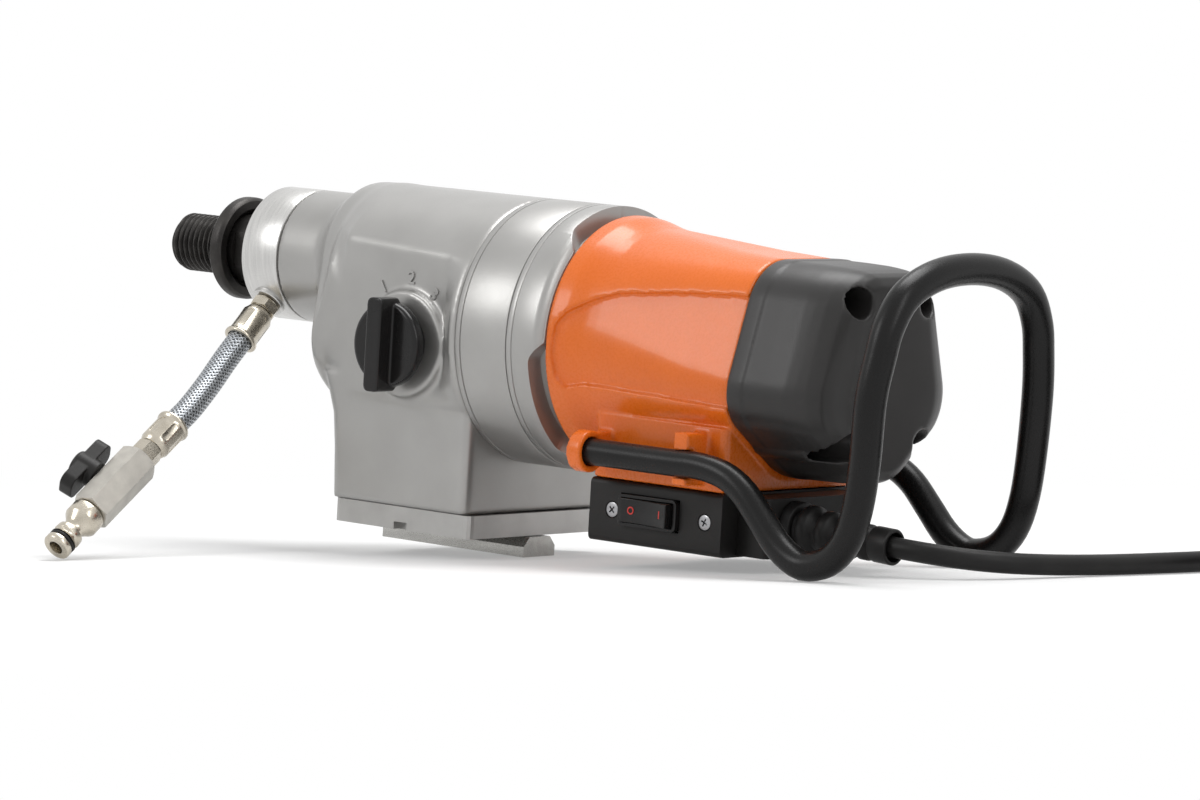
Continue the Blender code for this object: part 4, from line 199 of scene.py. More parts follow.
nickel = finish_material(
    "nickel", (0.58, 0.535, 0.455), (0.46, 0.42, 0.35), (0.16, 0.32), metallic=1.0,
    mottle=150.0, grain=1500.0, bump=0.000012,
)
rubber = finish_material(
    "rubber", (0.012, 0.0115, 0.011), (0.008, 0.0075, 0.0075), (0.38, 0.52),
    mottle=60.0, grain=2000.0, bump=0.00003, specular=0.22,
)


def skin(rings, closed=False):
    """A solid through rings of points. Open ends are capped, and a ring of one point is a pole."""
    shape = bmesh.new()
    loops = [[shape.verts.new(point) for point in ring] for ring in rings]
    pairs = list(zip(loops, loops[1:]))
    if closed:
        pairs.append((loops[-1], loops[0]))
    for first, second in pairs:
        count = max(len(first), len(second))
        for step in range(count):
            after = (step + 1) % count
            corners = [first[step % len(first)], first[after % len(first)],
                       second[after % len(second)], second[step % len(second)]]
            shape.faces.new(list(dict.fromkeys(corners)))
    if not closed:
        for loop in (loops[0], loops[-1]):
            if len(loop) > 2:
                shape.faces.new(loop)
    bmesh.ops.recalc_face_normals(shape, faces=shape.faces)
    return shape


def turned(outline, axis=(0.0, 0.0), sides=96):
    """A solid turned about a line along X through (y, z). An outline off the axis is a ring section."""
    rings = []
    for x, radius in outline:
        if radius == 0:
            rings.append([(x, *axis)])
            continue
        rings.append([
            (x, axis[0] + radius * cos(2 * pi * k / sides), axis[1] + radius * sin(2 * pi * k / sides))
            for k in range(sides)
        ])
    return skin(rings, closed=all(radius > 0 for _, radius in outline))


def raw_object(name, shape):
    """An object at the origin that holds the shape."""
    mesh = bpy.data.meshes.new(name)
    shape.to_mesh(mesh)
    shape.free()
    obj = bpy.data.objects.new(name, mesh)
    bpy.context.scene.collection.objects.link(obj)
    return obj


def shade(obj, angle=32):
    """Smooth shading, with an edge sharper than the angle left crisp."""
    obj.data.shade_smooth()
    obj.data.set_sharp_from_angle(angle=radians(angle))


def place(obj, material, body, stands_for=(), place_matrix=TOOL, angle=32, slot=None):
    """Carries a finished mesh to its place, gives it its finish and lets it ride on its body."""
    obj.data.transform(place_matrix)
    obj.data.materials.clear()
    obj.data.materials.append(material)
    shade(obj, angle)
    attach(obj, body)
    if stands_for:
        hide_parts(*stands_for)
    return obj


def smooth_path(route, spacing):
    """Evenly spaced points on a smooth curve through the route's own points."""
    knots = [Vector(point) for point in route]
    knots = [2 * knots[0] - knots[1]] + knots + [2 * knots[-1] - knots[-2]]
    dense = []
    for before, start, end, after in zip(knots, knots[1:], knots[2:], knots[3:]):
        for step in range(40):
            t = step / 40
            dense.append(0.5 * (2 * start + (end - before) * t
                                + (2 * before - 5 * start + 4 * end - after) * t**2
                                + (3 * start - before - 3 * end + after) * t**3))
    dense.append(knots[-2])
    length = sum((b - a).length for a, b in zip(dense, dense[1:]))
    count = max(2, round(length / spacing))
    points = [dense[0]]
    travelled = 0.0
    for a, b in zip(dense, dense[1:]):
        step_length = (b - a).length
        while travelled + step_length >= length * len(points) / count - 1e-9 and len(points) < count:
            points.append(a.lerp(b, (length * len(points) / count - travelled) / step_length))
        travelled += step_length
    points.append(dense[-1])
    return points


def blend(low, high, share):
    """Eases from one value to another as the share goes from 0 to 1."""
    share = min(1.0, max(0.0, share))
    return low + (high - low) * share * share * (3 - 2 * share)


CORD = 0.0108
BOOT_LENGTH = 0.051
COIL_CENTRE = Vector((-0.478, -0.183, 0))
COIL_RADII = (0.0756, 0.0648, 0.0540)
COIL_LAYERS = 3
COIL_STEPS = 24
ENTRY_ANGLE = radians(15)
ENTRY_SWEEP = radians(60)
ENTRY_STEPS = 4
FIRST_ANGLE = radians(-45)
PLUG_DEGREES = 200
CLIMB_STEPS = 9
PLUG_REST = 0.0184
TIE_THICKNESS = 0.0008
lead_exit = Vector((-0.234 - GAP, 0.019, 0.0372))
lead_basis = Matrix((Vector((-1.0, -0.04, -0.055)).normalized(), (0, -1, 0), (0, 0, 1))).transposed()
LEAD = Matrix.Translation(lead_exit) @ lead_basis.to_4x4()
on_floor = FLOOR_Z + CORD / 2


def coil_point(angle, radius, height):
    """A control point of the coil. The curve runs just inside its control points, so they stand out."""
    out = radius / cos(pi / COIL_STEPS)
    return COIL_CENTRE + Vector((out * cos(angle), out * sin(angle), height + TIE_THICKNESS))


def coil_points():
    """The turns, wound clockwise: in along the floor, out on them, in again on top, then up to the plug."""
    points = []
    for step in range(ENTRY_STEPS):
        share = step / ENTRY_STEPS
        radius = blend(COIL_RADII[0] + CORD, COIL_RADII[0], share)
        points.append(coil_point(ENTRY_ANGLE - share * ENTRY_SWEEP, radius, on_floor))
    rows = []
    for layer in range(COIL_LAYERS):
        rows += [(radius, layer) for radius in (COIL_RADII if layer % 2 == 0 else COIL_RADII[::-1])]
    rows.append((COIL_RADII[1], COIL_LAYERS))
    for (radius, layer), (next_radius, next_layer) in zip(rows, rows[1:]):
        for step in range(COIL_STEPS):
            share = step / COIL_STEPS
            rise = blend(layer, next_layer, (share - 0.60) / 0.2333)
            spread = blend(radius, next_radius, (share - 0.8333) / 0.1667)
            points.append(coil_point(FIRST_ANGLE - 2 * pi * share, spread, on_floor + rise * CORD))
    end_angle = radians(PLUG_DEGREES - 360)
    climb = plug_axis_z - (on_floor + TIE_THICKNESS + COIL_LAYERS * CORD)
    for step in range(CLIMB_STEPS):
        share = step / CLIMB_STEPS
        height = on_floor + COIL_LAYERS * CORD + blend(0, climb, (share - 0.25) / 0.7)
        points.append(coil_point(FIRST_ANGLE + share * (end_angle - FIRST_ANGLE), COIL_RADII[1], height))
    return points


plug_outwards = Vector((cos(radians(PLUG_DEGREES)), sin(radians(PLUG_DEGREES)), 0))
plug_onwards = Vector((plug_outwards.y, -plug_outwards.x, 0))
plug_axis_z = FLOOR_Z + TIE_THICKNESS + COIL_LAYERS * CORD + GAP + PLUG_REST
plug_start = COIL_CENTRE + plug_outwards * COIL_RADII[1] + Vector((0, 0, plug_axis_z))
lead_route = [
    TOOL @ LEAD @ Vector((0.002, 0, 0)),
    TOOL @ LEAD @ Vector((BOOT_LENGTH, 0, 0)),
    TOOL @ LEAD @ Vector((0.0665, 0, 0)),
    Vector((-0.3300, 0.0078, on_floor + 0.0052)),
    Vector((-0.3470, -0.0090, on_floor + 0.0026)),
    Vector((-0.3590, -0.0360, on_floor + 0.0008)),
    Vector((-0.3700, -0.0640, on_floor)),
    Vector((-0.3840, -0.0950, on_floor)),
    Vector((-0.3930, -0.1280, on_floor)),
]
cord_points = smooth_path(lead_route + [coil_points()[0]], 0.016)[:-1] + coil_points()
cord_points += [plug_start, plug_start + plug_onwards * 0.010]


def cord_curve(name, points, radius, material, resolution=6):
    """A bevelled curve through its control points, which the export can measure as a cord."""
    curve = bpy.data.curves.new(name, "CURVE")
    curve.dimensions = "3D"
    curve.bevel_depth = radius
    curve.bevel_resolution = resolution
    curve.resolution_u = 4
    curve.use_fill_caps = True
    spline = curve.splines.new("NURBS")
    spline.points.add(len(points) - 1)
    for slot_point, point in zip(spline.points, points):
        slot_point.co = (*point, 1.0)
    spline.order_u = 3
    spline.use_endpoint_u = True
    curve.materials.append(material)
    obj = bpy.data.objects.new(name, curve)
    bpy.context.scene.collection.objects.link(obj)
    return obj


mains_lead = cord_curve("mains_lead", cord_points, CORD / 2, rubber)
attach(mains_lead, "casing")
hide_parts("mains_cable", "cable_coil")

PLUG = Matrix.Translation(plug_start) @ Matrix((plug_onwards, -plug_outwards,
                                                (0, 0, 1))).transposed().to_4x4()
plug_outline = [(0.012, 0), (0.012, 0.0057), (0.0, 0.0057), (0.0, 0.0070), (0.0006, 0.0074)]
PLUG_RIBS = 3
PLUG_RIB_PITCH = 0.0045
for rib in range(PLUG_RIBS):
    rib_start = 0.002 + rib * PLUG_RIB_PITCH
    plug_outline += [(rib_start, 0.0072), (rib_start + 0.0006, 0.0086), (rib_start + 0.0026, 0.0088),
                     (rib_start + 0.0032, 0.0076)]
plug_outline += [(0.016, 0.0090), (0.0185, 0.0120), (0.0215, 0.0152), (0.028, 0.0174), (0.034, 0.0183),
                 (0.0475, 0.0183), (0.0492, 0.0178), (0.050, 0.0166), (0.050, 0)]
plug = raw_object("plug_body", turned(plug_outline, sides=64))
for side in (-1, 1):
    pin = [(0.045, 0), (0.045, 0.0024), (0.067, 0.0024), (0.0683, 0.0020), (0.069, 0.0012), (0.069, 0)]
    pin_piece = raw_object(f"plug_pin_{side + 2}", turned(pin, axis=(side * 0.0095, 0), sides=32))
    place(pin_piece, nickel, "casing", place_matrix=PLUG, slot="nickel")
place(plug, rubber, "casing", ("mains_plug",), PLUG, angle=40, slot="black_rubber")
TIE_ANGLE = radians(110)
TIE_HALF_WIDTH = 0.007
TIE_CORNER = 0.003
TIE_CLEARANCE = 0.0006
TIE_SKIN = 0.0001


def coil_tie():
    """A flat strap with rounded corners round the bundle of turns, as rings through its width."""
    reach = COIL_RADII[0] + CORD / 2 + TIE_CLEARANCE
    inner = COIL_RADII[2] - CORD / 2 - TIE_CLEARANCE
    low = FLOOR_Z + TIE_THICKNESS
    high = low + COIL_LAYERS * CORD
    radial = Vector((cos(TIE_ANGLE), sin(TIE_ANGLE), 0))
    along = Vector((-radial.y, radial.x, 0)) * TIE_HALF_WIDTH
    rings = []
    for outset, offset in ((TIE_THICKNESS, -1), (TIE_THICKNESS, 1), (TIE_SKIN, 1), (TIE_SKIN, -1)):
        ring = []
        for r, z, turn in ((reach, high, 0), (inner, high, 90), (inner, low, 180), (reach, low, 270)):
            centre_r = r - TIE_CORNER * (1 if r == reach else -1)
            centre_z = z - TIE_CORNER * (1 if z == high else -1)
            for step in range(7):
                angle = radians(turn + 15 * step)
                size = TIE_CORNER + outset
                ring.append(COIL_CENTRE + radial * (centre_r + size * cos(angle)) + along * offset
                            + Vector((0, 0, centre_z + size * sin(angle))))
        rings.append(ring)
    return skin(rings, closed=True)


tie = raw_object("coil_tie_1", coil_tie())
place(tie, rubber, "casing", place_matrix=Matrix.Identity(4), slot="black_rubber")

# ---------------------------------------------------------------------------
# Water hose: rubber under a braid of fine steel wire in a clear jacket, between two crimped ferrules.
# The upper one is on the collar's port, the lower one on the ball valve, whose nipple rests on the floor.
braid_wire = finish_material(
    "braid_wire", (0.66, 0.69, 0.72), (0.46, 0.49, 0.53), (0.24, 0.36), metallic=0.6, coat=0.2,
    mottle=400.0, grain=3000.0, bump=0.00001,
)


def block(low, high, round_axis=None, corner=0.0, steps=5):
    """A box, the edges along one axis rounded if asked."""
    shape = bmesh.new()
    bmesh.ops.create_cube(shape, size=1)
    bmesh.ops.scale(shape, vec=Vector(high) - Vector(low), verts=shape.verts)
    bmesh.ops.translate(shape, vec=(Vector(low) + Vector(high)) / 2, verts=shape.verts)
    if round_axis is not None:
        edges = [edge for edge in shape.edges
                 if abs((edge.verts[1].co - edge.verts[0].co).normalized()[round_axis]) > 0.99]
        bmesh.ops.bevel(shape, geom=edges, offset=corner, segments=steps, profile=0.5, affect="EDGES")
    bmesh.ops.recalc_face_normals(shape, faces=shape.faces)
    return shape


def settle(obj):
    """Applies every modifier of the object."""
    graph = bpy.context.evaluated_depsgraph_get()
    mesh = bpy.data.meshes.new_from_object(obj.evaluated_get(graph))
    old = obj.data
    obj.modifiers.clear()
    obj.data = mesh
    bpy.data.meshes.remove(old)
    return obj


def combine(obj, operation, *shapes):
    """Unites or cuts with each shape in turn."""
    helpers = []
    for shape in shapes:
        helper = raw_object("helper", shape)
        helpers.append(helper)
        modifier = obj.modifiers.new("combine", "BOOLEAN")
        modifier.object = helper
        modifier.operation = operation
        modifier.solver = "EXACT"
    settle(obj)
    for helper in helpers:
        mesh = helper.data
        bpy.data.objects.remove(helper)
        bpy.data.meshes.remove(mesh)
    return obj


def shape_from(obj):
    """Takes an object's mesh back as a shape, and drops the object."""
    shape = bmesh.new()
    shape.from_mesh(obj.data)
    bpy.data.objects.remove(obj)
    return shape


PORT_ANGLE = radians(44.5)
PORT_X = 0.130
PORT_LENGTH = 0.0450
FERRULE_LIP = 0.0025
STRAIGHT = 0.002
SPINDLE_Z = 0.145
HOSE_RADIUS = 0.0071
FERRULE_LENGTH = 0.021
HOSE_NUT_LENGTH = 0.0105
VALVE_LENGTH = 0.0448
NIPPLE_LENGTH = 0.0305
NIPPLE_RADIUS = 0.0078
port_direction = Vector((0, cos(PORT_ANGLE), -sin(PORT_ANGLE)))
port_turn = Vector((1, 0, 0)).rotation_difference(port_direction).to_matrix().to_4x4()
PORT = TOOL @ Matrix.Translation((PORT_X, 0, SPINDLE_Z)) @ port_turn
DRIFT = radians(1.2)
SLOPE = radians(35.4)
STEM_TURN = radians(35.5)
forward = Vector((sin(DRIFT), cos(SLOPE) * cos(DRIFT), -sin(SLOPE) * cos(DRIFT))).normalized()
sideways = Vector((1, 0, 0))
sideways = (sideways - forward * sideways.dot(forward)).normalized()
stem_way = cos(STEM_TURN) * sideways + sin(STEM_TURN) * sideways.cross(forward)
valve_reach = FERRULE_LENGTH + HOSE_NUT_LENGTH + VALVE_LENGTH + NIPPLE_LENGTH
valve_start = Vector((0.1206, 0.0998, FLOOR_Z + valve_reach * sin(SLOPE) + NIPPLE_RADIUS * cos(SLOPE)))
VALVE = Matrix.Translation(valve_start) @ Matrix(
    (forward, stem_way.cross(forward), stem_way)).transposed().to_4x4()

port_way = (PORT.to_3x3() @ Vector((1, 0, 0))).normalized()
upper_end = PORT @ Vector((PORT_LENGTH + FERRULE_LIP + GAP, 0, 0))
upper_mouth = PORT @ Vector((PORT_LENGTH + FERRULE_LENGTH + STRAIGHT, 0, 0))
lower_mouth = valve_start - forward * STRAIGHT
lower_end = valve_start + forward * (FERRULE_LENGTH - FERRULE_LIP - GAP)
span = (lower_mouth - upper_mouth).length
first_bend = upper_mouth + port_way * span * 0.33
second_bend = lower_mouth - forward * span * 0.33
hose_points = smooth_path([upper_end, upper_mouth, upper_mouth.lerp(first_bend, 0.6),
                           (first_bend + second_bend) / 2, lower_mouth.lerp(second_bend, 0.6),
                           lower_mouth, lower_end], 0.0005)


def braided_hose(points, radius, sides=144, carriers=14, pitch=0.034, relief=0.0006):
    """A tube whose skin rises and falls as two sets of wire bands cross over and under each other."""
    shape_rings = []
    ridges = []
    tangent = (points[1] - points[0]).normalized()
    side = tangent.orthogonal().normalized()
    travelled = 0.0
    for index, point in enumerate(points):
        if index:
            travelled += (point - points[index - 1]).length
        onward = points[min(index + 1, len(points) - 1)] - points[max(index - 1, 0)]
        side = (tangent.rotation_difference(onward.normalized()) @ side).normalized()
        tangent = onward.normalized()
        over = tangent.cross(side)
        ring = []
        for k in range(sides):
            angle = 2 * pi * k / sides
            right = carriers / 2 * (angle + 2 * pi * travelled / pitch)
            wrong = carriers / 2 * (angle - 2 * pi * travelled / pitch)
            over_under = 0.5 + 0.5 * cos(right) * cos(wrong)
            ridge = max(abs(sin(right)) * (0.55 + 0.45 * over_under),
                        abs(sin(wrong)) * (1 - 0.45 * over_under))
            ridges.append(ridge)
            size = radius - relief * (1 - ridge)
            ring.append(point + size * (cos(angle) * side + sin(angle) * over))
        shape_rings.append(ring)
    return skin(shape_rings), ridges


hose_shape, hose_ridges = braided_hose(hose_points, HOSE_RADIUS)
hose = raw_object("braided_hose", hose_shape)
ridge_values = hose.data.attributes.new("ridge", "FLOAT", "POINT")
ridge_values.data.foreach_set("value", hose_ridges)
braid_tree = braid_wire.node_tree
braid_ridge = braid_tree.nodes.new("ShaderNodeAttribute")
braid_ridge.attribute_name = "ridge"
braid_shade = braid_tree.nodes.new("ShaderNodeMapRange")
braid_shade.inputs["From Min"].default_value = 0.55
braid_shade.inputs["From Max"].default_value = 0.85
braid_shade.inputs["To Min"].default_value = 0.12
link(braid_tree, braid_ridge, "Fac", braid_shade, "Value")
braid_colour = braid_tree.nodes.new("ShaderNodeVectorMath")
braid_colour.operation = "MULTIPLY"
braid_shader = braid_tree.nodes["Principled BSDF"]
braid_detail = next(node for node in braid_tree.nodes if node.type == "GROUP")
link(braid_tree, braid_detail, "Color", braid_colour, 0)
link(braid_tree, braid_shade, 0, braid_colour, 1)
link(braid_tree, braid_colour, 0, braid_shader, "Base Color")
place(hose, braid_wire, "casing", ("water_hose",), Matrix.Identity(4), angle=80, slot="braid")


def bevelled(obj, width, segments=2, angle=35):
    """Breaks every sharp edge with a narrow bevel."""
    bevel = obj.modifiers.new("bevel", "BEVEL")
    bevel.width = width
    bevel.segments = segments
    bevel.limit_method = "ANGLE"
    bevel.angle_limit = radians(angle)
    return settle(obj)


def ferrule_piece(name, start, place_matrix, flip, node):
    """A steel sleeve crimped in flats round its middle, with a rolled rim where the hose enters."""
    end = start + FERRULE_LENGTH
    bore = HOSE_RADIUS + GAP
    outline = [(start, 0.0030), (start, 0.0068), (start + 0.0006, 0.0074), (start + 0.0022, 0.0080),
               (start + 0.0034, 0.0086), (end - 0.0030, 0.0086), (end - 0.0024, 0.0089),
               (end - 0.0020, 0.0094), (end - 0.0015, 0.0096), (end - 0.0006, 0.0096),
               (end - 0.0002, 0.0094), (end, 0.0088), (end, bore), (start + FERRULE_LIP, bore),
               (start + FERRULE_LIP, 0.0030)]
    piece = raw_object(name, turned(outline, sides=96))
    dents = []
    for number in range(6):
        dent = block((start + 0.0046, -0.0020, 0.0081), (end - 0.0042, 0.0020, 0.0100), 2, 0.0019, 6)
        bmesh.ops.rotate(dent, cent=(0, 0, 0), matrix=Matrix.Rotation(2 * pi * number / 6, 3, "X"),
                         verts=dent.verts)
        dents.append(dent)
    combine(piece, "DIFFERENCE", *dents)
    if flip:
        piece.data.transform(Matrix.Translation((FERRULE_LENGTH, 0, 0)) @ Matrix.Rotation(pi, 4, "Z"))
    bevelled(piece, 0.00022, angle=40)
    return place(piece, nickel, "casing", (node,), place_matrix, slot="nickel")


ferrule_piece("crimped_ferrule_upper", PORT_LENGTH, PORT, False, "upper_hose_ferrule")
lower_ferrule = ferrule_piece("crimped_ferrule_lower", 0.0, VALVE, True, "lower_hose_ferrule")


def chamfered_hexagon(start, end, corner, chamfer, bore):
    """A hexagon bar whose corners are turned off at both ends, bored through."""
    bar = raw_object("hexagon", turned([(start, 0), (start, corner), (end, corner), (end, 0)], sides=6))
    flat = corner * cos(pi / 6)
    cone = [(start, 0), (start, flat - chamfer), (start + (corner - flat) * 0.6, corner),
            (end - (corner - flat) * 0.6, corner), (end, flat - chamfer), (end, 0)]
    combine(bar, "INTERSECT", turned(cone, sides=96))
    return combine(bar, "DIFFERENCE",
                   turned([(start - 0.001, 0), (start - 0.001, bore), (end + 0.001, bore),
                           (end + 0.001, 0)]))


nut = chamfered_hexagon(FERRULE_LENGTH + GAP, FERRULE_LENGTH + HOSE_NUT_LENGTH, 0.0078, 0.0002, 0.003)
nut.name = "hose_union_nut"
place(nut, nickel, "casing", ("hose_nut",), VALVE, slot="nickel")

port_fitting = raw_object("port_adapter", turned(
    [(0.026, 0.0025), (0.026, 0.0045), (0.0372, 0.0045), (0.0377, 0.0066), (0.0381, 0.0070),
     (0.0385, 0.0066),
     (0.0444, 0.0066), (0.0444, 0.0025)]))
port_hexagon = chamfered_hexagon(0.0386, 0.0441, 0.0081, 0.0002, 0.0032)
combine(port_fitting, "UNION", shape_from(port_hexagon))
place(port_fitting, nickel, "casing", ("water_port_fitting",), PORT, slot="nickel")

# ---------------------------------------------------------------------------
# Ball valve: a satin hexagon body, a black butterfly lever on its stem, and the quick-connect nipple, turned
# from plated brass with a groove for its O-ring.
satin_steel = finish_material(
    "satin_steel", (0.52, 0.50, 0.455), (0.44, 0.42, 0.385), (0.34, 0.48), metallic=1.0,
    mottle=150.0, grain=2600.0, bump=0.000012,
)
black_plastic = finish_material(
    "black_plastic", (0.014, 0.013, 0.0125), (0.009, 0.0085, 0.008), (0.38, 0.52),
    mottle=50.0, grain=2600.0, bump=0.00005, specular=0.25,
)


def aimed(shape, origin, direction):
    """A shape made along X, turned to point along a direction from an origin."""
    turn = Vector((1, 0, 0)).rotation_difference(Vector(direction)).to_matrix().to_4x4()
    bmesh.ops.transform(shape, matrix=Matrix.Translation(Vector(origin)) @ turn, verts=shape.verts)
    return shape


def soften(obj, voxel, passes, most=160000, factor=0.5):
    """Rounds every edge a little, as sand casting or moulding does, and keeps the mesh light."""
    remesh = obj.modifiers.new("remesh", "REMESH")
    remesh.mode = "VOXEL"
    remesh.voxel_size = voxel
    smooth = obj.modifiers.new("smooth", "SMOOTH")
    smooth.factor = factor
    smooth.iterations = passes
    settle(obj)
    triangles = sum(len(face.vertices) - 2 for face in obj.data.polygons)
    if triangles > most:
        lighter = obj.modifiers.new("lighter", "DECIMATE")
        lighter.ratio = most / triangles
        settle(obj)
    return obj


body_start = FERRULE_LENGTH + HOSE_NUT_LENGTH + GAP
body_end = FERRULE_LENGTH + HOSE_NUT_LENGTH + VALVE_LENGTH
valve_middle = (body_start + body_end) / 2
valve_body = chamfered_hexagon(body_start, body_end, 0.0100 / cos(pi / 6), 0.0003, 0.0045)
valve_body.name = "ball_valve_body"
ball_room = bmesh.new()
bmesh.ops.create_uvsphere(ball_room, u_segments=48, v_segments=24, radius=0.0073)
bmesh.ops.translate(ball_room, vec=(valve_middle, 0, 0), verts=ball_room.verts)
stem_room = aimed(turned([(0, 0), (0, 0.0038), (0.02, 0.0038), (0.02, 0)], sides=32),
                  (valve_middle, 0, 0), (0, 0, 1))
combine(valve_body, "DIFFERENCE", ball_room, stem_room)
place(valve_body, satin_steel, "casing", ("valve_body",), VALVE, slot="bright_steel")

hub_outline = [(0.0110, 0), (0.0110, 0.0070), (0.0116, 0.0078), (0.0238, 0.0078), (0.0248, 0.0075),
               (0.0255, 0.0068), (0.0258, 0.0058), (0.0258, 0)]
lever = raw_object("butterfly_lever", aimed(turned(hub_outline), (valve_middle, 0, 0), (0, 0, 1)))
wing = block((valve_middle - 0.018, -0.0074, 0.0155), (valve_middle + 0.018, 0.0074, 0.0232), 2, 0.0050, 8)
combine(lever, "UNION", wing)
socket = turned([(0.0, 0), (0.0, 0.0034), (0.0173, 0.0034), (0.0173, 0)], sides=32)
combine(lever, "DIFFERENCE", aimed(socket, (valve_middle, 0, 0), (0, 0, 1)))
soften(lever, 0.00042, 6)
place(lever, black_plastic, "valve_lever", ("valve_lever",), VALVE, angle=60, slot="black_plastic")

nip = body_end + GAP
nip_end = nip + NIPPLE_LENGTH - 2 * GAP
nipple_outline = [(nip, 0.0040), (nip, 0.0088), (nip + 0.0012, 0.0097), (nip + 0.0078, 0.0097),
                  (nip + 0.0085, 0.0094), (nip + 0.0105, NIPPLE_RADIUS), (nip + 0.0125, 0.0064),
                  (nip + 0.0140, 0.0058),
                  (nip + 0.0160, 0.0056), (nip + 0.0166, 0.0062), (nip + 0.0172, 0.0076),
                  (nip + 0.0205, NIPPLE_RADIUS), (nip + 0.0210, 0.0071), (nip + 0.0222, 0.0070),
                  (nip + 0.0235, NIPPLE_RADIUS),
                  (nip_end - 0.0066, NIPPLE_RADIUS), (nip_end - 0.0066, 0.0058), (nip_end - 0.0034, 0.0058),
                  (nip_end - 0.0034, NIPPLE_RADIUS), (nip_end - 0.0008, NIPPLE_RADIUS),
                  (nip_end - 0.0002, 0.0075),
                  (nip_end, 0.0070), (nip_end, 0.0040)]
nipple = raw_object("quick_nipple", turned(nipple_outline))
bevelled(nipple, 0.00015)
place(nipple, nickel, "casing", ("hose_nipple",), VALVE, slot="nickel")
ring_middle = nip_end - 0.0050
o_ring = [(ring_middle + 0.0012 * cos(2 * pi * k / 16),
           0.00680 + 0.00095 * sin(2 * pi * k / 16)) for k in range(16)]
seal = raw_object("nipple_seal", turned(o_ring))
place(seal, rubber, "casing", ("nipple_o_ring",), VALVE, slot="black_rubber")

# ---------------------------------------------------------------------------
# Spindle: phosphated steel, turned, with the coarse thread that core bits screw onto, the flange ring they
# seat against, and the flats a wrench takes hold of behind it.
dark_steel = finish_material(
    "dark_steel", (0.050, 0.047, 0.044), (0.028, 0.026, 0.025), (0.32, 0.48), metallic=0.8,
    mottle=90.0, grain=1600.0, bump=0.00003,
)
THREAD_RADIUS = 0.015875
THREAD_PITCH = 0.0036286
TIP = 0.216
thread_rear = TIP - 0.033


def threaded_spindle(sides=96):
    """The shaft, its flange and its thread, whose crest climbs one pitch a turn."""
    outline = [(0.124, 0), (0.124, 0.005), (TIP, 0.005), (TIP, THREAD_RADIUS - 0.0024)]
    rings_per_pitch = 12
    count = round((TIP - thread_rear) / THREAD_PITCH * rings_per_pitch)
    outline += [(TIP - step * THREAD_PITCH / rings_per_pitch, None) for step in range(1, count)]
    neck = THREAD_RADIUS - 0.0024
    outline += [(thread_rear - 0.0002, neck), (thread_rear - 0.004, neck)]
    for step in range(1, 9):
        share = step / 8
        outline.append((thread_rear - 0.004 - 0.0042 * share, neck + 0.0084 * (1 - cos(share * pi / 2))))
    outline += [(0.1748, 0.0268), (0.1743, 0.0275), (0.1736, 0.0280), (0.1695, 0.0280), (0.1680, 0.0274),
                (0.1670, 0.0262), (0.167, 0.022), (0.1700, 0.019), (0.155, 0.019), (0.154, 0.0175),
                (0.100, 0.0175)]
    rings = []
    for x, radius in outline:
        ring = []
        for k in range(sides):
            angle = 2 * pi * k / sides
            size = radius
            if radius is None:
                phase = ((TIP - x) / THREAD_PITCH + k / sides) % 1.0
                tooth = min(1.0, max(0.0, (abs(phase - 0.5) * 2 - 0.10) / 0.72))
                run_in = min(1.0, (TIP - x) / 0.0022)
                size = THREAD_RADIUS - 0.0022 * (1 - tooth) - 0.0020 * (1 - run_in)
                size = max(neck, size)
            ring.append((x, size * cos(angle), SPINDLE_Z + size * sin(angle)))
        rings.append(ring if radius != 0 else [(x, 0, SPINDLE_Z)])
    gear_seat = 0.016
    tail = 0.012
    shoulder_x = 0.0035
    seat_front = 0.077
    low = tool_box("spindle")[0].x
    for x, size in ((seat_front, 0.0175), (seat_front, gear_seat), (shoulder_x, gear_seat),
                    (shoulder_x, tail),
                    (low, tail)):
        rings.append([(x, size * cos(2 * pi * k / sides), SPINDLE_Z + size * sin(2 * pi * k / sides))
                      for k in range(sides)])
    rings.append([(low, 0, SPINDLE_Z)])
    return skin(rings)


spindle = raw_object("threaded_spindle", threaded_spindle())
flats = [block((0.1565, low_y, SPINDLE_Z - 0.02), (0.1655, low_y + 0.009, SPINDLE_Z + 0.02))
         for low_y in (0.0165, -0.0255)]
combine(spindle, "DIFFERENCE", *flats)
place(spindle, dark_steel, "spindle", ("spindle",), slot="dark_steel")

# ---------------------------------------------------------------------------
# Water collar: an aluminium ring that feeds water into the turning spindle, with two seals inside and a boss
# at its lower left for the hose's fitting.
machined_aluminium = finish_material(
    "machined_aluminium", (0.60, 0.595, 0.58), (0.50, 0.495, 0.485), (0.24, 0.38), metallic=1.0,
    mottle=120.0, grain=2500.0, stretch=(8, 0.4, 0.4), bump=0.000006,
)
collar_front = 0.117 + 0.026
collar_outline = [(0.117, 0.0243), (0.117, 0.0352), (0.1172, 0.0357), (0.1178, 0.0360),
                  (collar_front - 0.0014, 0.0360),
                  (collar_front - 0.0006, 0.0357), (collar_front, 0.0348), (collar_front, 0.0243),
                  (collar_front - 0.006, 0.0243), (collar_front - 0.006, 0.0225), (0.124, 0.0225),
                  (0.124, 0.0243)]
collar = raw_object("water_collar_ring", turned(collar_outline, axis=(0, SPINDLE_Z), sides=144))
boss = aimed(turned([(0.030, 0), (0.030, 0.0095), (0.0371, 0.0095), (0.0375, 0.0091), (0.0375, 0)]),
             (PORT_X, 0, SPINDLE_Z), port_direction)
combine(collar, "UNION", boss)
hole = aimed(turned([(0.020, 0), (0.020, 0.0048), (0.042, 0.0048), (0.042, 0)], sides=48),
             (PORT_X, 0, SPINDLE_Z), port_direction)
combine(collar, "DIFFERENCE", hole)
place(collar, machined_aluminium, "casing", ("water_collar",), slot="machined_aluminium")

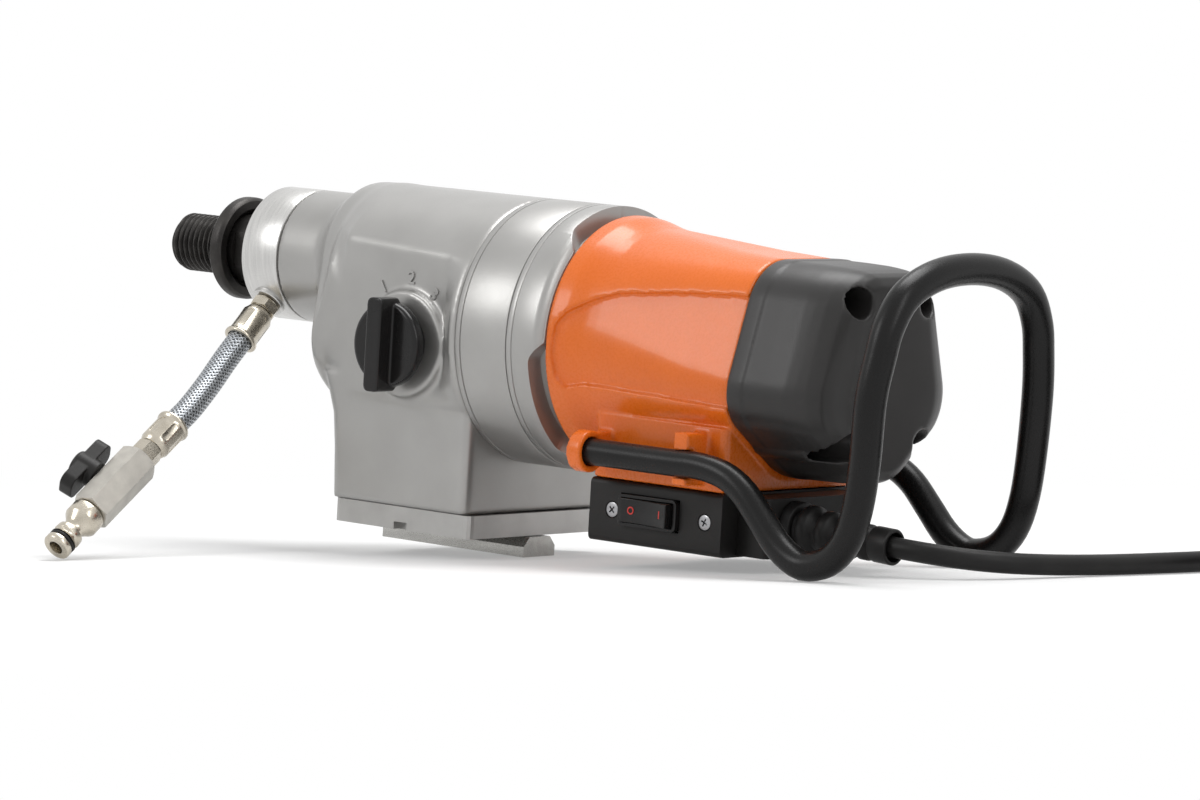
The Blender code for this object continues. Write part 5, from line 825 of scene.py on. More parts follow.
# ---------------------------------------------------------------------------
# Gearbox casing: sand-cast aluminium painted silver, so its outer edges are soft. The barrel narrows to the
# nose, a square foot stands on the base plate, and a turned boss carries the speed selector.
silver_paint = finish_material(
    "silver_paint", (0.36, 0.355, 0.345), (0.315, 0.31, 0.30), (0.30, 0.42), metallic=0.7,
    mottle=25.0, grain=1800.0, bump=0.000025, coat=0.25, coat_roughness=0.3,
)
BARREL_Z = 0.119
SELECTOR_Z = 0.1095
SELECTOR_CENTRE = (0, 0, SELECTOR_Z)
SIDEWAYS_OUT = (0, 1, 0)
CASTING_WALL = 0.0045
FOOT_WALL = 0.0050
SECTION_STEP = 0.0175
SHOULDER_X = 0.048
BARREL_RADIUS = 0.070
BLOCK_HALF_WIDTH = 0.0555
SEAM_FRONT = -0.0435
SEAM_REAR = -0.0785
JUNCTION = -0.1015
CAP_SEAM = -0.217
CAP_REAR = -0.277
PLATE_TOP = 0.0105 + GAP + 0.0122 + GAP


def hull_section(x, discs, flat=1.0, sides=144):
    """The tight outline round discs (y, z, half width, half height), mirrored in Y and cut off at +-flat."""
    both = [(side * y, z, wide, high) for y, z, wide, high in discs for side in (-1, 1)]
    points = []
    for step in range(sides):
        angle = 2 * pi * (step + 0.5) / sides
        across, up = cos(angle), sin(angle)

        def reach(disc):
            return disc[0] * across + disc[1] * up + hypot(disc[2] * across, disc[3] * up)

        y, z, wide, high = max(both, key=reach)
        size = hypot(wide * across, high * up)
        points.append((x, max(-flat, min(flat, y + wide * wide * across / size)),
                       z + high * high * up / size))
    return points


def inset_discs(discs, wall):
    """The same discs, smaller by the thickness of a wall."""
    return [(y, z, wide - wall, high - wall) for y, z, wide, high in discs]


BARREL_DISC = ((0, BARREL_Z, BARREL_RADIUS, BARREL_RADIUS),)
NOSE_SECTIONS = (
    (0.060, ((0, 0.133, 0.0565, 0.0565), (0, 0.112, 0.056, 0.056))),
    (0.066, ((0, 0.140, 0.049, 0.049), (0, 0.110, 0.058, 0.048))),
    (0.071, ((0, 0.143, 0.046, 0.046), (0, 0.107, 0.055, 0.040))),
    (0.076, ((0, 0.145, 0.0435, 0.0435), (0, 0.108, 0.045, 0.030))),
    (0.082, ((0, 0.145, 0.039, 0.039), (0, 0.118, 0.036, 0.020))),
    (0.088, ((0, 0.145, 0.036, 0.036),)),
    (0.117 - GAP, ((0, 0.145, 0.036, 0.036),)),
)
barrel_sections = [
    hull_section(SEAM_FRONT + GAP / 2, inset_discs(BARREL_DISC, 0.0006)),
    hull_section(SEAM_FRONT + 0.0008, BARREL_DISC),
    hull_section(SEAM_FRONT + 0.0045, BARREL_DISC),
    hull_section(SEAM_FRONT + SECTION_STEP, BARREL_DISC, 0.0585),
    hull_section(SHOULDER_X, BARREL_DISC, BLOCK_HALF_WIDTH),
]
barrel_sections += [hull_section(x, discs, BLOCK_HALF_WIDTH) for x, discs in NOSE_SECTIONS]


def rounded_rectangle(z, x_low, x_high, half_width, corner, steps=8):
    """A level ring of points with rounded corners."""
    ring = []
    corners = ((x_high, half_width, 0), (x_low, half_width, 90), (x_low, -half_width, 180),
               (x_high, -half_width, 270))
    for x, y, turn in corners:
        cx = x - corner * (1 if x == x_high else -1)
        cy = y - corner * (1 if y > 0 else -1)
        for step in range(steps + 1):
            angle = radians(turn + 90 * step / steps)
            ring.append((cx + corner * cos(angle), cy + corner * sin(angle), z))
    return ring


casing = raw_object("gearbox_casting", skin(barrel_sections))
foot_levels = ((PLATE_TOP, 0.0505, 0.005), (0.050, 0.0520, 0.005), (0.068, 0.0545, 0.006),
               (0.078, 0.0585, 0.007),
               (0.090, 0.0640, 0.009))
foot = skin([rounded_rectangle(z, SEAM_FRONT - 0.0002, x, BLOCK_HALF_WIDTH, corner) for z, x,
             corner in foot_levels])
boss_outline = [(0.040, 0), (0.040, 0.030), (0.0560, 0.0295), (0.0585, 0.0284), (0.0600, 0.0280),
                (0.0620, 0.0280),
                (0.0625, 0.0275), (0.0625, 0)]
selector_boss = aimed(turned(boss_outline, sides=128), SELECTOR_CENTRE, SIDEWAYS_OUT)
combine(casing, "UNION", foot, selector_boss)
hollow_sections = [hull_section(SEAM_FRONT - 0.004, inset_discs(BARREL_DISC, CASTING_WALL)),
                   hull_section(SEAM_FRONT + 0.006, inset_discs(BARREL_DISC, CASTING_WALL)),
                   hull_section(SEAM_FRONT + SECTION_STEP, inset_discs(BARREL_DISC, CASTING_WALL), 0.0535),
                   hull_section(0.046, inset_discs(BARREL_DISC, CASTING_WALL),
                                BLOCK_HALF_WIDTH - CASTING_WALL)]
hollow_sections += [hull_section(x - 0.004, inset_discs(discs, FOOT_WALL), BLOCK_HALF_WIDTH - CASTING_WALL)
                    for x, discs in NOSE_SECTIONS[:5]]
bearing_low, bearing_high = tool_box("spindle_front_bearing")
bearing_radius = (bearing_high.y - bearing_low.y) / 2 + 0.0005
nose_bore = turned([(bearing_low.x - 0.014, 0), (bearing_low.x - 0.014, bearing_radius - 0.003),
                    (bearing_low.x - GAP, bearing_radius - 0.003), (bearing_low.x - GAP, bearing_radius),
                    (bearing_high.x + 0.001, bearing_radius), (bearing_high.x + 0.001, 0.0265),
                    (0.13, 0.0265),
                    (0.13, 0)], axis=(0, SPINDLE_Z))
selector_bore = aimed(turned([(0.03, 0), (0.03, 0.0075), (0.08, 0.0075), (0.08, 0)], sides=48),
                      SELECTOR_CENTRE, SIDEWAYS_OUT)
combine(casing, "DIFFERENCE", skin(hollow_sections), nose_bore, selector_bore)
soften(casing, 0.0013, 7)
place(casing, silver_paint, "casing", ("gearbox_front_casing",), angle=50, slot="silver_paint")

# ---------------------------------------------------------------------------
# Gear ring and rear flange: two cast rings between the casing and the motor, with fine turned seams. The
# flange's lip is notched where the motor's cooling air comes out.


def cast_ring(name, rear, front, rim_rear, inner):
    """A ring with a turned groove near its front and, if its rear rim is smaller, a rounded shoulder."""
    outline = [(rear, inner), (rear, rim_rear - 0.0006), (rear + 0.0002, rim_rear - 0.0002),
               (rear + 0.0007, rim_rear)]
    if rim_rear < BARREL_RADIUS:
        outline += [(rear + 0.0016, 0.0679), (rear + 0.0028, 0.0691), (rear + 0.0040, 0.0698),
                    (rear + 0.0055, 0.0700)]
    outline += [(front - 0.0042, 0.0700), (front - 0.0039, 0.0694), (front - 0.0035, 0.0694),
                (front - 0.0032, 0.0700),
                (front - 0.0007, 0.0700), (front - 0.0002, 0.0698), (front, 0.0694), (front, inner)]
    return raw_object(name, turned(outline, axis=(0, BARREL_Z), sides=192))


ring_casing = cast_ring("gear_ring", SEAM_REAR + GAP / 2, SEAM_FRONT - GAP / 2, BARREL_RADIUS, 0.0655)
wall_bore = (tool_box("motor_front_bearing")[1].y - tool_box("motor_front_bearing")[0].y) / 2 + 0.0006
wall = turned([(SEAM_REAR + GAP / 2, wall_bore), (SEAM_REAR + GAP / 2, 0.066), (SEAM_REAR + 0.0065, 0.066),
               (SEAM_REAR + 0.0065, wall_bore)], axis=(0, BARREL_Z))
combine(ring_casing, "UNION", wall)
place(ring_casing, silver_paint, "casing", ("gearbox_ring_casing",), angle=40, slot="silver_paint")

flange = cast_ring("motor_flange_ring", JUNCTION + GAP / 2, SEAM_REAR - GAP / 2, 0.0660, 0.058)


def vent_sector(start, end, steps=40):
    """The cutter of one air notch, which runs out to nothing at both ends."""
    rings = []
    for step in range(steps + 1):
        share = step / steps
        angle = radians(start + (end - start) * share)
        depth = 0.0075 * blend(0, 1, min(6 * share, 6 * (1 - share))) + 0.0002
        section = ((JUNCTION - 0.002, 0.060), (JUNCTION - 0.002, 0.073), (JUNCTION + depth, 0.073),
                   (JUNCTION + depth, 0.060))
        rings.append([(x, r * cos(angle), BARREL_Z + r * sin(angle)) for x, r in section])
    return skin(rings)


combine(flange, "DIFFERENCE",
        *[vent_sector(start, end) for start, end in ((43, 137), (-62, 2), (178, 242))])
bevelled(flange, 0.0006, 3, 50)
place(flange, silver_paint, "casing", ("gearbox_rear_flange",), angle=40, slot="silver_paint")

# ---------------------------------------------------------------------------
# Speed selector: a moulded knob with a grip bar, turned to one of three speeds. The numerals beside it are
# cast with the gearbox and carry its paint.
gloss_black = finish_material(
    "gloss_black", (0.012, 0.011, 0.011), (0.008, 0.008, 0.008), (0.16, 0.24), coat=0.04,
    mottle=50.0, grain=900.0, bump=0.000006, specular=0.25,
)
knob = raw_object("speed_knob", aimed(turned(
    [(0.0628, 0), (0.0628, 0.0172), (0.0632, 0.0175), (0.0697, 0.0175), (0.0697, 0.0225), (0.0735, 0.0225),
     (0.0750, 0.0218), (0.0757, 0.0205), (0.0757, 0)], sides=128), SELECTOR_CENTRE, SIDEWAYS_OUT))
bar = block((-0.005, 0.070, SELECTOR_Z - 0.0247), (0.005, 0.0852, SELECTOR_Z + 0.0247), 1, 0.0030, 6)
combine(knob, "UNION", bar)
knob_bore = aimed(turned([(0.05, 0), (0.05, 0.0053), (0.0715, 0.0053), (0.0715, 0)], sides=48),
                  SELECTOR_CENTRE, SIDEWAYS_OUT)
combine(knob, "DIFFERENCE", knob_bore)
soften(knob, 0.00055, 5)
place(knob, gloss_black, "selector", ("selector_knob",), angle=60, slot="black_plastic")


def raised_mark(name, text, size, spot, material, body, thickness=0.0005, turn=0.0):
    """A character standing out from a side face of the tool, read from its left."""
    curve = bpy.data.curves.new(name, "FONT")
    curve.body = text
    curve.size = size
    curve.extrude = thickness
    curve.bevel_depth = 0.0001
    curve.align_x = "CENTER"
    curve.align_y = "CENTER"
    helper = bpy.data.objects.new("mark_helper", curve)
    bpy.context.scene.collection.objects.link(helper)
    graph = bpy.context.evaluated_depsgraph_get()
    mesh = bpy.data.meshes.new_from_object(helper.evaluated_get(graph))
    bpy.data.objects.remove(helper)
    mark = bpy.data.objects.new(name, mesh)
    bpy.context.scene.collection.objects.link(mark)
    facing = Matrix(((-1, 0, 0), (0, 0, 1), (0, 1, 0))).transposed().to_4x4()
    mark.data.transform(Matrix.Translation(Vector(spot)) @ facing @ Matrix.Rotation(turn, 4, "Z"))
    place(mark, material, body, angle=40)
    return mark


SIDE_TAPER = 0.003
NUMERAL_SIZE = 0.0095
for text, x, z in (("1", 0.0190, 0.1377), ("2", -0.0010, 0.1440), ("3", -0.0180, 0.1366)):
    side_y = BLOCK_HALF_WIDTH + SIDE_TAPER * (SHOULDER_X - x) / (SHOULDER_X - (SEAM_FRONT + SECTION_STEP))
    raised_mark(f"speed_numeral_{text}", text, NUMERAL_SIZE, (x, side_y, z), silver_paint, "casing",
                thickness=0.0008, turn=atan2(x, z - SELECTOR_Z))

# ---------------------------------------------------------------------------
# Motor housing: one orange nylon moulding. Its barrel changes from round at the flange to squarer at the end
# cap, a skirt covers the switch box, and an eye and a saddle on each side hold the carrying handle.
orange_gloss = finish_material(
    "orange_gloss", (0.74, 0.150, 0.012), (0.69, 0.134, 0.010), (0.24, 0.32), coat=0.15, specular=0.35,
    mottle=18.0, grain=700.0, bump=0.000012, coat_roughness=0.05,
)
FLANGE_RADIUS = 0.066
REAR_DISCS = ((0.018, 0.142, 0.030, 0.030), (0.036, 0.106, 0.024, 0.024), (0.0, 0.100, 0.040, 0.040))
MOTOR_MIDDLE_Z = 0.114


def motor_section(x, front_radius, share, wide=1.0, high=1.0):
    """A section between the motor's round front (share 0) and its squarer rear (share 1)."""
    front = hull_section(x, ((0, BARREL_Z, front_radius, front_radius),))
    mixed = [Vector(a).lerp(Vector(b), share) for a, b in zip(front, hull_section(x, REAR_DISCS))]
    return [(x, y * wide, MOTOR_MIDDLE_Z + (z - MOTOR_MIDDLE_Z) * high) for _, y, z in mixed]


housing_rear = CAP_SEAM + GAP / 2
housing_levels = (
    (JUNCTION - GAP / 2, FLANGE_RADIUS - 0.001, 0.0), (JUNCTION - 0.0006, FLANGE_RADIUS - 0.0002, 0.0),
    (JUNCTION - 0.0015, FLANGE_RADIUS, 0.0), (JUNCTION - 0.010, FLANGE_RADIUS - 0.0006, 0.0),
    (JUNCTION - 0.014, FLANGE_RADIUS - 0.0016, 0.01), (JUNCTION - 0.020, FLANGE_RADIUS - 0.0030, 0.06),
    (JUNCTION - 0.027, FLANGE_RADIUS - 0.0038, 0.15), (housing_rear + 0.030, FLANGE_RADIUS - 0.0040, 0.80),
    (housing_rear + 0.0006, FLANGE_RADIUS - 0.0040, 1.0), (housing_rear, FLANGE_RADIUS - 0.0045, 1.0),
)
housing = raw_object("motor_shell", skin([motor_section(*level) for level in housing_levels]))
TUBE_Y = 0.0695
TUBE_Z = 0.0675
EYE_FRONT = -0.132
BOX_FRONT = -0.128
BOX_REAR = -0.215
BOX_HALF = 0.054
BOX_LOW = 0.0205
BOX_TOP = 0.053
additions = [block((BOX_REAR, -BOX_HALF, BOX_TOP + GAP), (BOX_FRONT, BOX_HALF, 0.086), 2, 0.004)]
for side in (-1, 1):
    near, far = sorted((side * 0.044, side * (TUBE_Y - 0.001)))
    additions += [
        turned([(EYE_FRONT - 0.0085, 0), (EYE_FRONT - 0.0085, 0.0108), (EYE_FRONT, 0.0108), (EYE_FRONT, 0)],
               axis=(side * TUBE_Y, TUBE_Z)),
        block((EYE_FRONT - 0.0085, near, TUBE_Z - 0.004), (EYE_FRONT, far, TUBE_Z + 0.0098)),
        block((-0.2035, min(side * 0.045, side * 0.071), 0.0565),
              (-0.1945, max(side * 0.045, side * 0.071), 0.083)),
    ]
combine(housing, "UNION", *additions)
cutters = [turned([(CAP_SEAM - 0.01, 0), (CAP_SEAM - 0.01, 0.0500), (JUNCTION + 0.01, 0.0500),
                   (JUNCTION + 0.01, 0)],
                  axis=(0, BARREL_Z))]
for side in (-1, 1):
    cutters.append(turned([(-0.2127, 0), (-0.2127, 0.0074), (EYE_FRONT - 0.0015, 0.0074),
                           (EYE_FRONT - 0.0015, 0)],
                          axis=(side * TUBE_Y, TUBE_Z), sides=64))
combine(housing, "DIFFERENCE", *cutters)
PANEL_DEPTH = 0.0028
panel_outline = ((-0.1065, 0.1300), (-0.1120, 0.1365), (-0.1250, 0.1440), (-0.1390, 0.1485),
                 (-0.1800, 0.1520),
                 (-0.2250, 0.1540), (-0.2250, 0.0962), (-0.1800, 0.0980), (-0.1240, 0.1000),
                 (-0.1120, 0.0975),
                 (-0.1075, 0.1020), (-0.1050, 0.1150))
panel_scale = 1 - PANEL_DEPTH / 0.060
for side in (-1, 1):
    outside = [motor_section(x, radius, share, 1.08, 1.08) for x, radius, share in housing_levels]
    inside = [motor_section(x, radius, share, panel_scale, panel_scale)
              for x, radius, share in housing_levels]
    for sections in (outside, inside):
        ends = (sections[0], sections[-1])
        sections.insert(0, [(x + 0.004, y, z) for x, y, z in ends[0]])
        sections.append([(x - 0.004, y, z) for x, y, z in ends[1]])
    recess = raw_object("panel_recess",
                        skin([[(x, side * y, z) for x, z in panel_outline] for y in (0.035, 0.080)]))
    combine(recess, "INTERSECT", skin(outside))
    combine(recess, "DIFFERENCE", skin(inside))
    combine(housing, "DIFFERENCE", shape_from(recess))
soften(housing, 0.00100, 4)
place(housing, orange_gloss, "casing", ("motor_housing",), angle=60, slot="orange_plastic")

# ---------------------------------------------------------------------------
# End cap: dark grey nylon over the fan end, held by four screws deep in drop-shaped pockets.
# It is one moulding, with a tube inside for each screw and a seat for the motor's rear bearing.
gear_steel = finish_material(
    "gear_steel", (0.36, 0.36, 0.37), (0.27, 0.27, 0.28), (0.28, 0.42), metallic=1.0, bump=0.00001,
)
grey_plastic = finish_material(
    "grey_plastic", (0.026, 0.0245, 0.024), (0.020, 0.019, 0.0185), (0.34, 0.44),
    mottle=30.0, grain=2200.0, bump=0.00003, specular=0.35,
)
CAP_SCREWS = ((0.0275, 0.1545), (0.0285, 0.0815))
SCREW_SEAT = -0.236
cap_screw_axes = [(side * y, z) for y, z in CAP_SCREWS for side in (-1, 1)]
cap_front = CAP_SEAM - GAP / 2
cap_profile = (
    (cap_front, 0.985, 0.985), (cap_front - 0.0008, 1.0, 1.0), (cap_front - 0.0060, 1.006, 1.003),
    (cap_front - 0.010, 1.008, 1.004), (cap_front - 0.0108, 0.998, 0.996),
    (cap_front - 0.024, 0.994, 0.994),
    (cap_front - 0.036, 0.982, 0.988), (CAP_REAR + 0.018, 0.958, 0.981), (CAP_REAR + 0.012, 0.925, 0.97),
    (CAP_REAR + 0.006, 0.84, 0.95), (CAP_REAR + 0.0025, 0.74, 0.92), (CAP_REAR + 0.0008, 0.66, 0.87),
    (CAP_REAR, 0.60, 0.84),
)
cap = raw_object("motor_cap",
                 skin([motor_section(x, FLANGE_RADIUS, 1.0, wide, high) for x, wide, high in cap_profile]))
cap_hollow = [(CAP_REAR + 0.009, 0), (CAP_REAR + 0.009, 0.030), (CAP_REAR + 0.026, 0.030),
              (CAP_REAR + 0.026, 0.050),
              (cap_front + 0.01, 0.050), (cap_front + 0.01, 0)]
combine(cap, "DIFFERENCE", turned(cap_hollow, axis=(0, BARREL_Z)))
tubes = []
pockets = []
for y, z in cap_screw_axes:
    tubes.append(turned([(CAP_REAR + 0.025, 0), (CAP_REAR + 0.025, 0.0095), (cap_front - 0.001, 0.0095),
                         (cap_front - 0.001, 0)], axis=(y, z), sides=48))
    pockets.append(turned([(CAP_REAR - 0.01, 0), (CAP_REAR - 0.01, 0.0082), (-0.252, 0.0078),
                           (SCREW_SEAT, 0.0074),
                           (SCREW_SEAT, 0.0024), (cap_front + 0.002, 0.0024), (cap_front + 0.002, 0)],
                           axis=(y, z), sides=48))
seat_low, seat_high = tool_box("motor_rear_bearing")
seat_radius = (seat_high.y - seat_low.y) / 2
seat = turned([(CAP_REAR + 0.008, 0), (CAP_REAR + 0.008, seat_radius + 0.004),
               (seat_high.x, seat_radius + 0.004),
               (seat_high.x, 0)], axis=(0, BARREL_Z))
combine(cap, "UNION", *tubes, seat)
seat_bore = turned([(seat_low.x - 0.002, 0), (seat_low.x - 0.002, seat_radius + 0.0006),
                    (seat_high.x + 0.01, seat_radius + 0.0006), (seat_high.x + 0.01, 0)],
                    axis=(0, BARREL_Z))
combine(cap, "DIFFERENCE", *pockets, seat_bore)
soften(cap, 0.00095, 5)
place(cap, grey_plastic, "casing", ("motor_end_cap",), angle=60, slot="dark_grey_plastic")

for number, (y, z) in enumerate(cap_screw_axes, 1):
    head_rear = SCREW_SEAT - GAP - 0.0045
    screw = raw_object(f"cap_socket_screw_{number}", turned(
        [(head_rear + 0.0023, 0), (head_rear + 0.0023, 0.0022), (head_rear, 0.0024), (head_rear, 0.0038),
         (head_rear + 0.0004, 0.0042), (SCREW_SEAT - GAP, 0.0042), (SCREW_SEAT - GAP, 0.0020),
         (CAP_SEAM + 0.0130, 0.0020),
         (CAP_SEAM + 0.0130, 0)], axis=(y, z), sides=48))
    place(screw, gear_steel, "casing", (f"cap_screw_{number}",), slot="dark_steel")

# ---------------------------------------------------------------------------
# Carrying handle: one steel tube, bent, coated satin black. It lies in the housing's eyes and
# saddles, dips to the floor behind the motor and arches over it.
tube_black = finish_material(
    "tube_black", (0.006, 0.0055, 0.0055), (0.004, 0.004, 0.004), (0.26, 0.36),
    mottle=40.0, grain=1200.0, bump=0.00002, specular=0.22,
)


def swept(points, radii, sides=40):
    """A round bar along a path."""
    rings = []
    tangent = (points[1] - points[0]).normalized()
    side = tangent.orthogonal().normalized()
    for index, point in enumerate(points):
        onward = points[min(index + 1, len(points) - 1)] - points[max(index - 1, 0)]
        side = (tangent.rotation_difference(onward.normalized()) @ side).normalized()
        tangent = onward.normalized()
        over = tangent.cross(side)
        angles = [2 * pi * k / sides for k in range(sides)]
        rings.append([point + radii[index] * (cos(angle) * side + sin(angle) * over) for angle in angles])
    return skin(rings)


def handle_half(side):
    """One side of the tube, from its end in the eye to the top of the arch."""
    run = [(EYE_FRONT - 0.003, 1, TUBE_Z), (-0.166, 1, TUBE_Z), (-0.192, 1, TUBE_Z), (-0.212, 1, TUBE_Z)]
    drop = [(-0.228, 1, 0.0645), (-0.2405, 1, 0.0575), (-0.252, 1, 0.046), (-0.263, 1, 0.0345),
            (-0.2735, 1, 0.0275),
            (-0.2832, 1, 0.0253), (-0.297, 1, 0.0295), (-0.307, 1, 0.0405)]
    arch = [(-0.3125, 1, 0.057), (-0.3152, 1, 0.080), (-0.3165, 1, 0.111), (-0.318, 0.95, 0.132),
            (-0.319, 0.885, 0.148), (-0.320, 0.72, 0.163), (-0.3207, 0.40, 0.1725)]
    return [(x, side * share * TUBE_Y, z) for x, share, z in run + drop + arch]


def handle_radius(point):
    """The tube is slimmest in the eyes and a little fuller through the dip and the arch."""
    if point.x > -0.2832:
        return 0.0069 + 0.0007 * min(1.0, max(0.0, (point.x + 0.212) / -0.0712))
    return 0.0076 + 0.0005 * min(1.0, max(0.0, (point.z - 0.0253) / 0.085))


handle_points = smooth_path(handle_half(1) + [(-0.321, 0, 0.1755)] + handle_half(-1)[::-1], 0.004)
handle_radii = [handle_radius(point) for point in handle_points]
stub = Vector((0.0072, 0, 0))
shoulder = Vector((0.00002, 0, 0))
handle_points = [handle_points[0] + stub, handle_points[0] + shoulder, *handle_points,
                 handle_points[-1] + shoulder, handle_points[-1] + stub]
handle_radii = [0.0045, 0.0045, *handle_radii, 0.0045, 0.0045]
handle = raw_object("handle_tube", swept(handle_points, handle_radii))
place(handle, tube_black, "casing", ("carrying_handle",), angle=60, slot="black_tube")

# ---------------------------------------------------------------------------
# Switch box: a textured black moulding under the motor. It holds the rocker switch in its raised
# surround, two countersunk screws beside it, and the outlet of the mains lead at the back.
red_mark = finish_material("red_mark", (0.62, 0.030, 0.020), (0.50, 0.022, 0.016), (0.3, 0.4))
box = raw_object("switch_housing",
                 block((BOX_REAR, -BOX_HALF, BOX_LOW), (BOX_FRONT, BOX_HALF, BOX_TOP), 0, 0.003))
combine(box, "UNION",
        block((-0.234, -0.041, BOX_LOW + 0.001), (BOX_REAR + 0.002, 0.041, BOX_TOP - 0.001), 2, 0.003))
ROCKER_X = -0.168
ROCKER_Z = 0.0385
BOX_SCREW_XS = (-0.143, -0.204)
BOX_SCREW_Z = ROCKER_Z - 0.001
box_cuts = [
    block((BOX_REAR + 0.003, -BOX_HALF + 0.003, BOX_LOW + 0.003),
          (BOX_FRONT - 0.003, BOX_HALF - 0.012, BOX_TOP + 0.001)),
    block((ROCKER_X - 0.0195, BOX_HALF - 0.009, ROCKER_Z - 0.0085),
          (ROCKER_X + 0.0195, BOX_HALF + 0.002, ROCKER_Z + 0.0085)),
]
for x in BOX_SCREW_XS:
    box_cuts.append(aimed(turned([(BOX_HALF - 0.010, 0), (BOX_HALF - 0.010, 0.0020),
                                  (BOX_HALF - 0.003, 0.0020),
                                  (BOX_HALF - 0.0002, 0.0045), (BOX_HALF + 0.001, 0.0045),
                                  (BOX_HALF + 0.001, 0)],
                                 sides=48), (x, 0, BOX_SCREW_Z), SIDEWAYS_OUT))
combine(box, "DIFFERENCE", *box_cuts)
bevelled(box, 0.0009, 3)
place(box, black_plastic, "casing", ("switch_box",), angle=45, slot="black_plastic")

for number, x in enumerate(BOX_SCREW_XS, 1):
    screw = raw_object(f"box_screw_{number}", turned(
        [(BOX_HALF - 0.0095, 0), (BOX_HALF - 0.0095, 0.0014), (BOX_HALF - 0.0028, 0.0014),
         (BOX_HALF - 0.0006, 0.0038),
         (BOX_HALF - 0.0002, 0.0038), (BOX_HALF + 0.0001, 0.0030), (BOX_HALF + 0.0001, 0)], sides=48))
    slots = [block((BOX_HALF - 0.0016, -0.00045 - reach, -0.00045 - (0.0017 - reach)),
                   (BOX_HALF + 0.001, 0.00045 + reach, 0.00045 + (0.0017 - reach))) for reach in (0.0,
                                                                                                  0.0017)]
    for slot_shape in slots:
        bmesh.ops.rotate(slot_shape, cent=(0, 0, 0),
                         matrix=Matrix.Rotation(radians(25 + 20 * number), 3, "X"),
                         verts=slot_shape.verts)
    combine(screw, "DIFFERENCE", *slots)
    upright = Vector((1, 0, 0)).rotation_difference(Vector((0, 1, 0))).to_matrix().to_4x4()
    screw.data.transform(Matrix.Translation((x, 0, BOX_SCREW_Z)) @ upright)
    place(screw, gear_steel, "casing", (f"panel_screw_{number}",), slot="dark_steel")

surround = raw_object("rocker_surround", block(
    (ROCKER_X - 0.0192, BOX_HALF - 0.0087, ROCKER_Z - 0.0082),
    (ROCKER_X + 0.0192, BOX_HALF + 0.0028, ROCKER_Z + 0.0082),
    1, 0.0028, 8))
combine(surround, "DIFFERENCE", block(
    (ROCKER_X - 0.0171, BOX_HALF - 0.0055, ROCKER_Z - 0.0065),
    (ROCKER_X + 0.0171, BOX_HALF + 0.004, ROCKER_Z + 0.0065)))
bevelled(surround, 0.0006, 3)
place(surround, gloss_black, "casing", ("switch_surround",), angle=45, slot="black_plastic")

ROCKER_DISH = 0.0018
ROCKER_TIP = radians(6)
half = 0.0165
face = BOX_HALF
rocker_low = [(-half, face - 0.0022), (-0.0028, face - 0.0048), (0.0028, face - 0.0048),
              (half, face - 0.0022)]
rocker_top = []
for step in range(17):
    x = half - 2 * half * step / 16
    rocker_top.append((x, face + 0.0036 + ROCKER_DISH * (x / half) ** 2))
tip = Matrix.Rotation(-ROCKER_TIP, 4, "Z")
rocker_place = Matrix.Translation((ROCKER_X, face - 0.001, ROCKER_Z)) @ tip
rocker_rings = [[(x, y - (face - 0.001), z) for x, y in rocker_low + rocker_top] for z in (-0.0062, 0.0062)]
rocker = raw_object("power_rocker", skin(rocker_rings))
rocker.data.transform(rocker_place)
bevelled(rocker, 0.0005, 3)
place(rocker, gloss_black, "rocker", ("rocker_switch",), angle=45, slot="black_plastic")
for text, x in (("I", ROCKER_X - 0.0105), ("O", ROCKER_X + 0.0100)):
    lift = 0.0042 + ROCKER_DISH * ((x - ROCKER_X) / half) ** 2 - (x - ROCKER_X) * sin(ROCKER_TIP) + 0.0002
    spot = (x, face + lift - 0.0009, ROCKER_Z)
    raised_mark(f"rocker_mark_{text}", text, 0.0055, spot, red_mark, "rocker", thickness=0.0003)

# ---------------------------------------------------------------------------
# Bend relief: a soft rubber boot with four ribs that ends in a short open sleeve round the lead.
# It starts at the back of the switch box, and the lead runs through both.
BOOT_FLANGE = 0.006
BOOT_RIBS = 4
lead_bore = CORD / 2 + GAP
boot_outline = [(0, lead_bore), (0, 0.0128), (0.0005, 0.0135), (0.0055, 0.0135), (BOOT_FLANGE, 0.0130),
                (BOOT_FLANGE, 0.0100)]
rib_pitch = (BOOT_LENGTH - BOOT_FLANGE) / BOOT_RIBS
for rib in range(BOOT_RIBS):
    share = rib / 3
    crest = 0.0128 + (0.0092 - 0.0128) * share
    groove = 0.0096 + (0.0078 - 0.0096) * share
    start = BOOT_FLANGE + rib * rib_pitch
    boot_outline += [(start + 0.15 * rib_pitch, groove), (start + 0.28 * rib_pitch, crest - 0.0008),
                     (start + 0.36 * rib_pitch, crest), (start + 0.72 * rib_pitch, crest),
                     (start + 0.80 * rib_pitch, crest - 0.0008), (start + 0.93 * rib_pitch, groove)]
boot_outline += [(BOOT_LENGTH, 0.0075), (BOOT_LENGTH, lead_bore)]
boot = raw_object("ribbed_boot", turned(boot_outline))
place(boot, rubber, "casing", ("cable_boot",), TOOL @ LEAD, angle=45, slot="black_rubber")
sleeve_end = BOOT_LENGTH + GAP + 0.0115
sleeve = raw_object("lead_sleeve", turned(
    [(0.0513, lead_bore), (0.0513, 0.0084), (0.0516, 0.0089), (0.0521, 0.0092),
     (sleeve_end - 0.0006, 0.0092),
     (sleeve_end, 0.0086), (sleeve_end, 0.0076), (0.0543, 0.0074), (0.0543, lead_bore)]))
place(sleeve, rubber, "casing", ("cable_sleeve",), TOOL @ LEAD, slot="black_rubber")

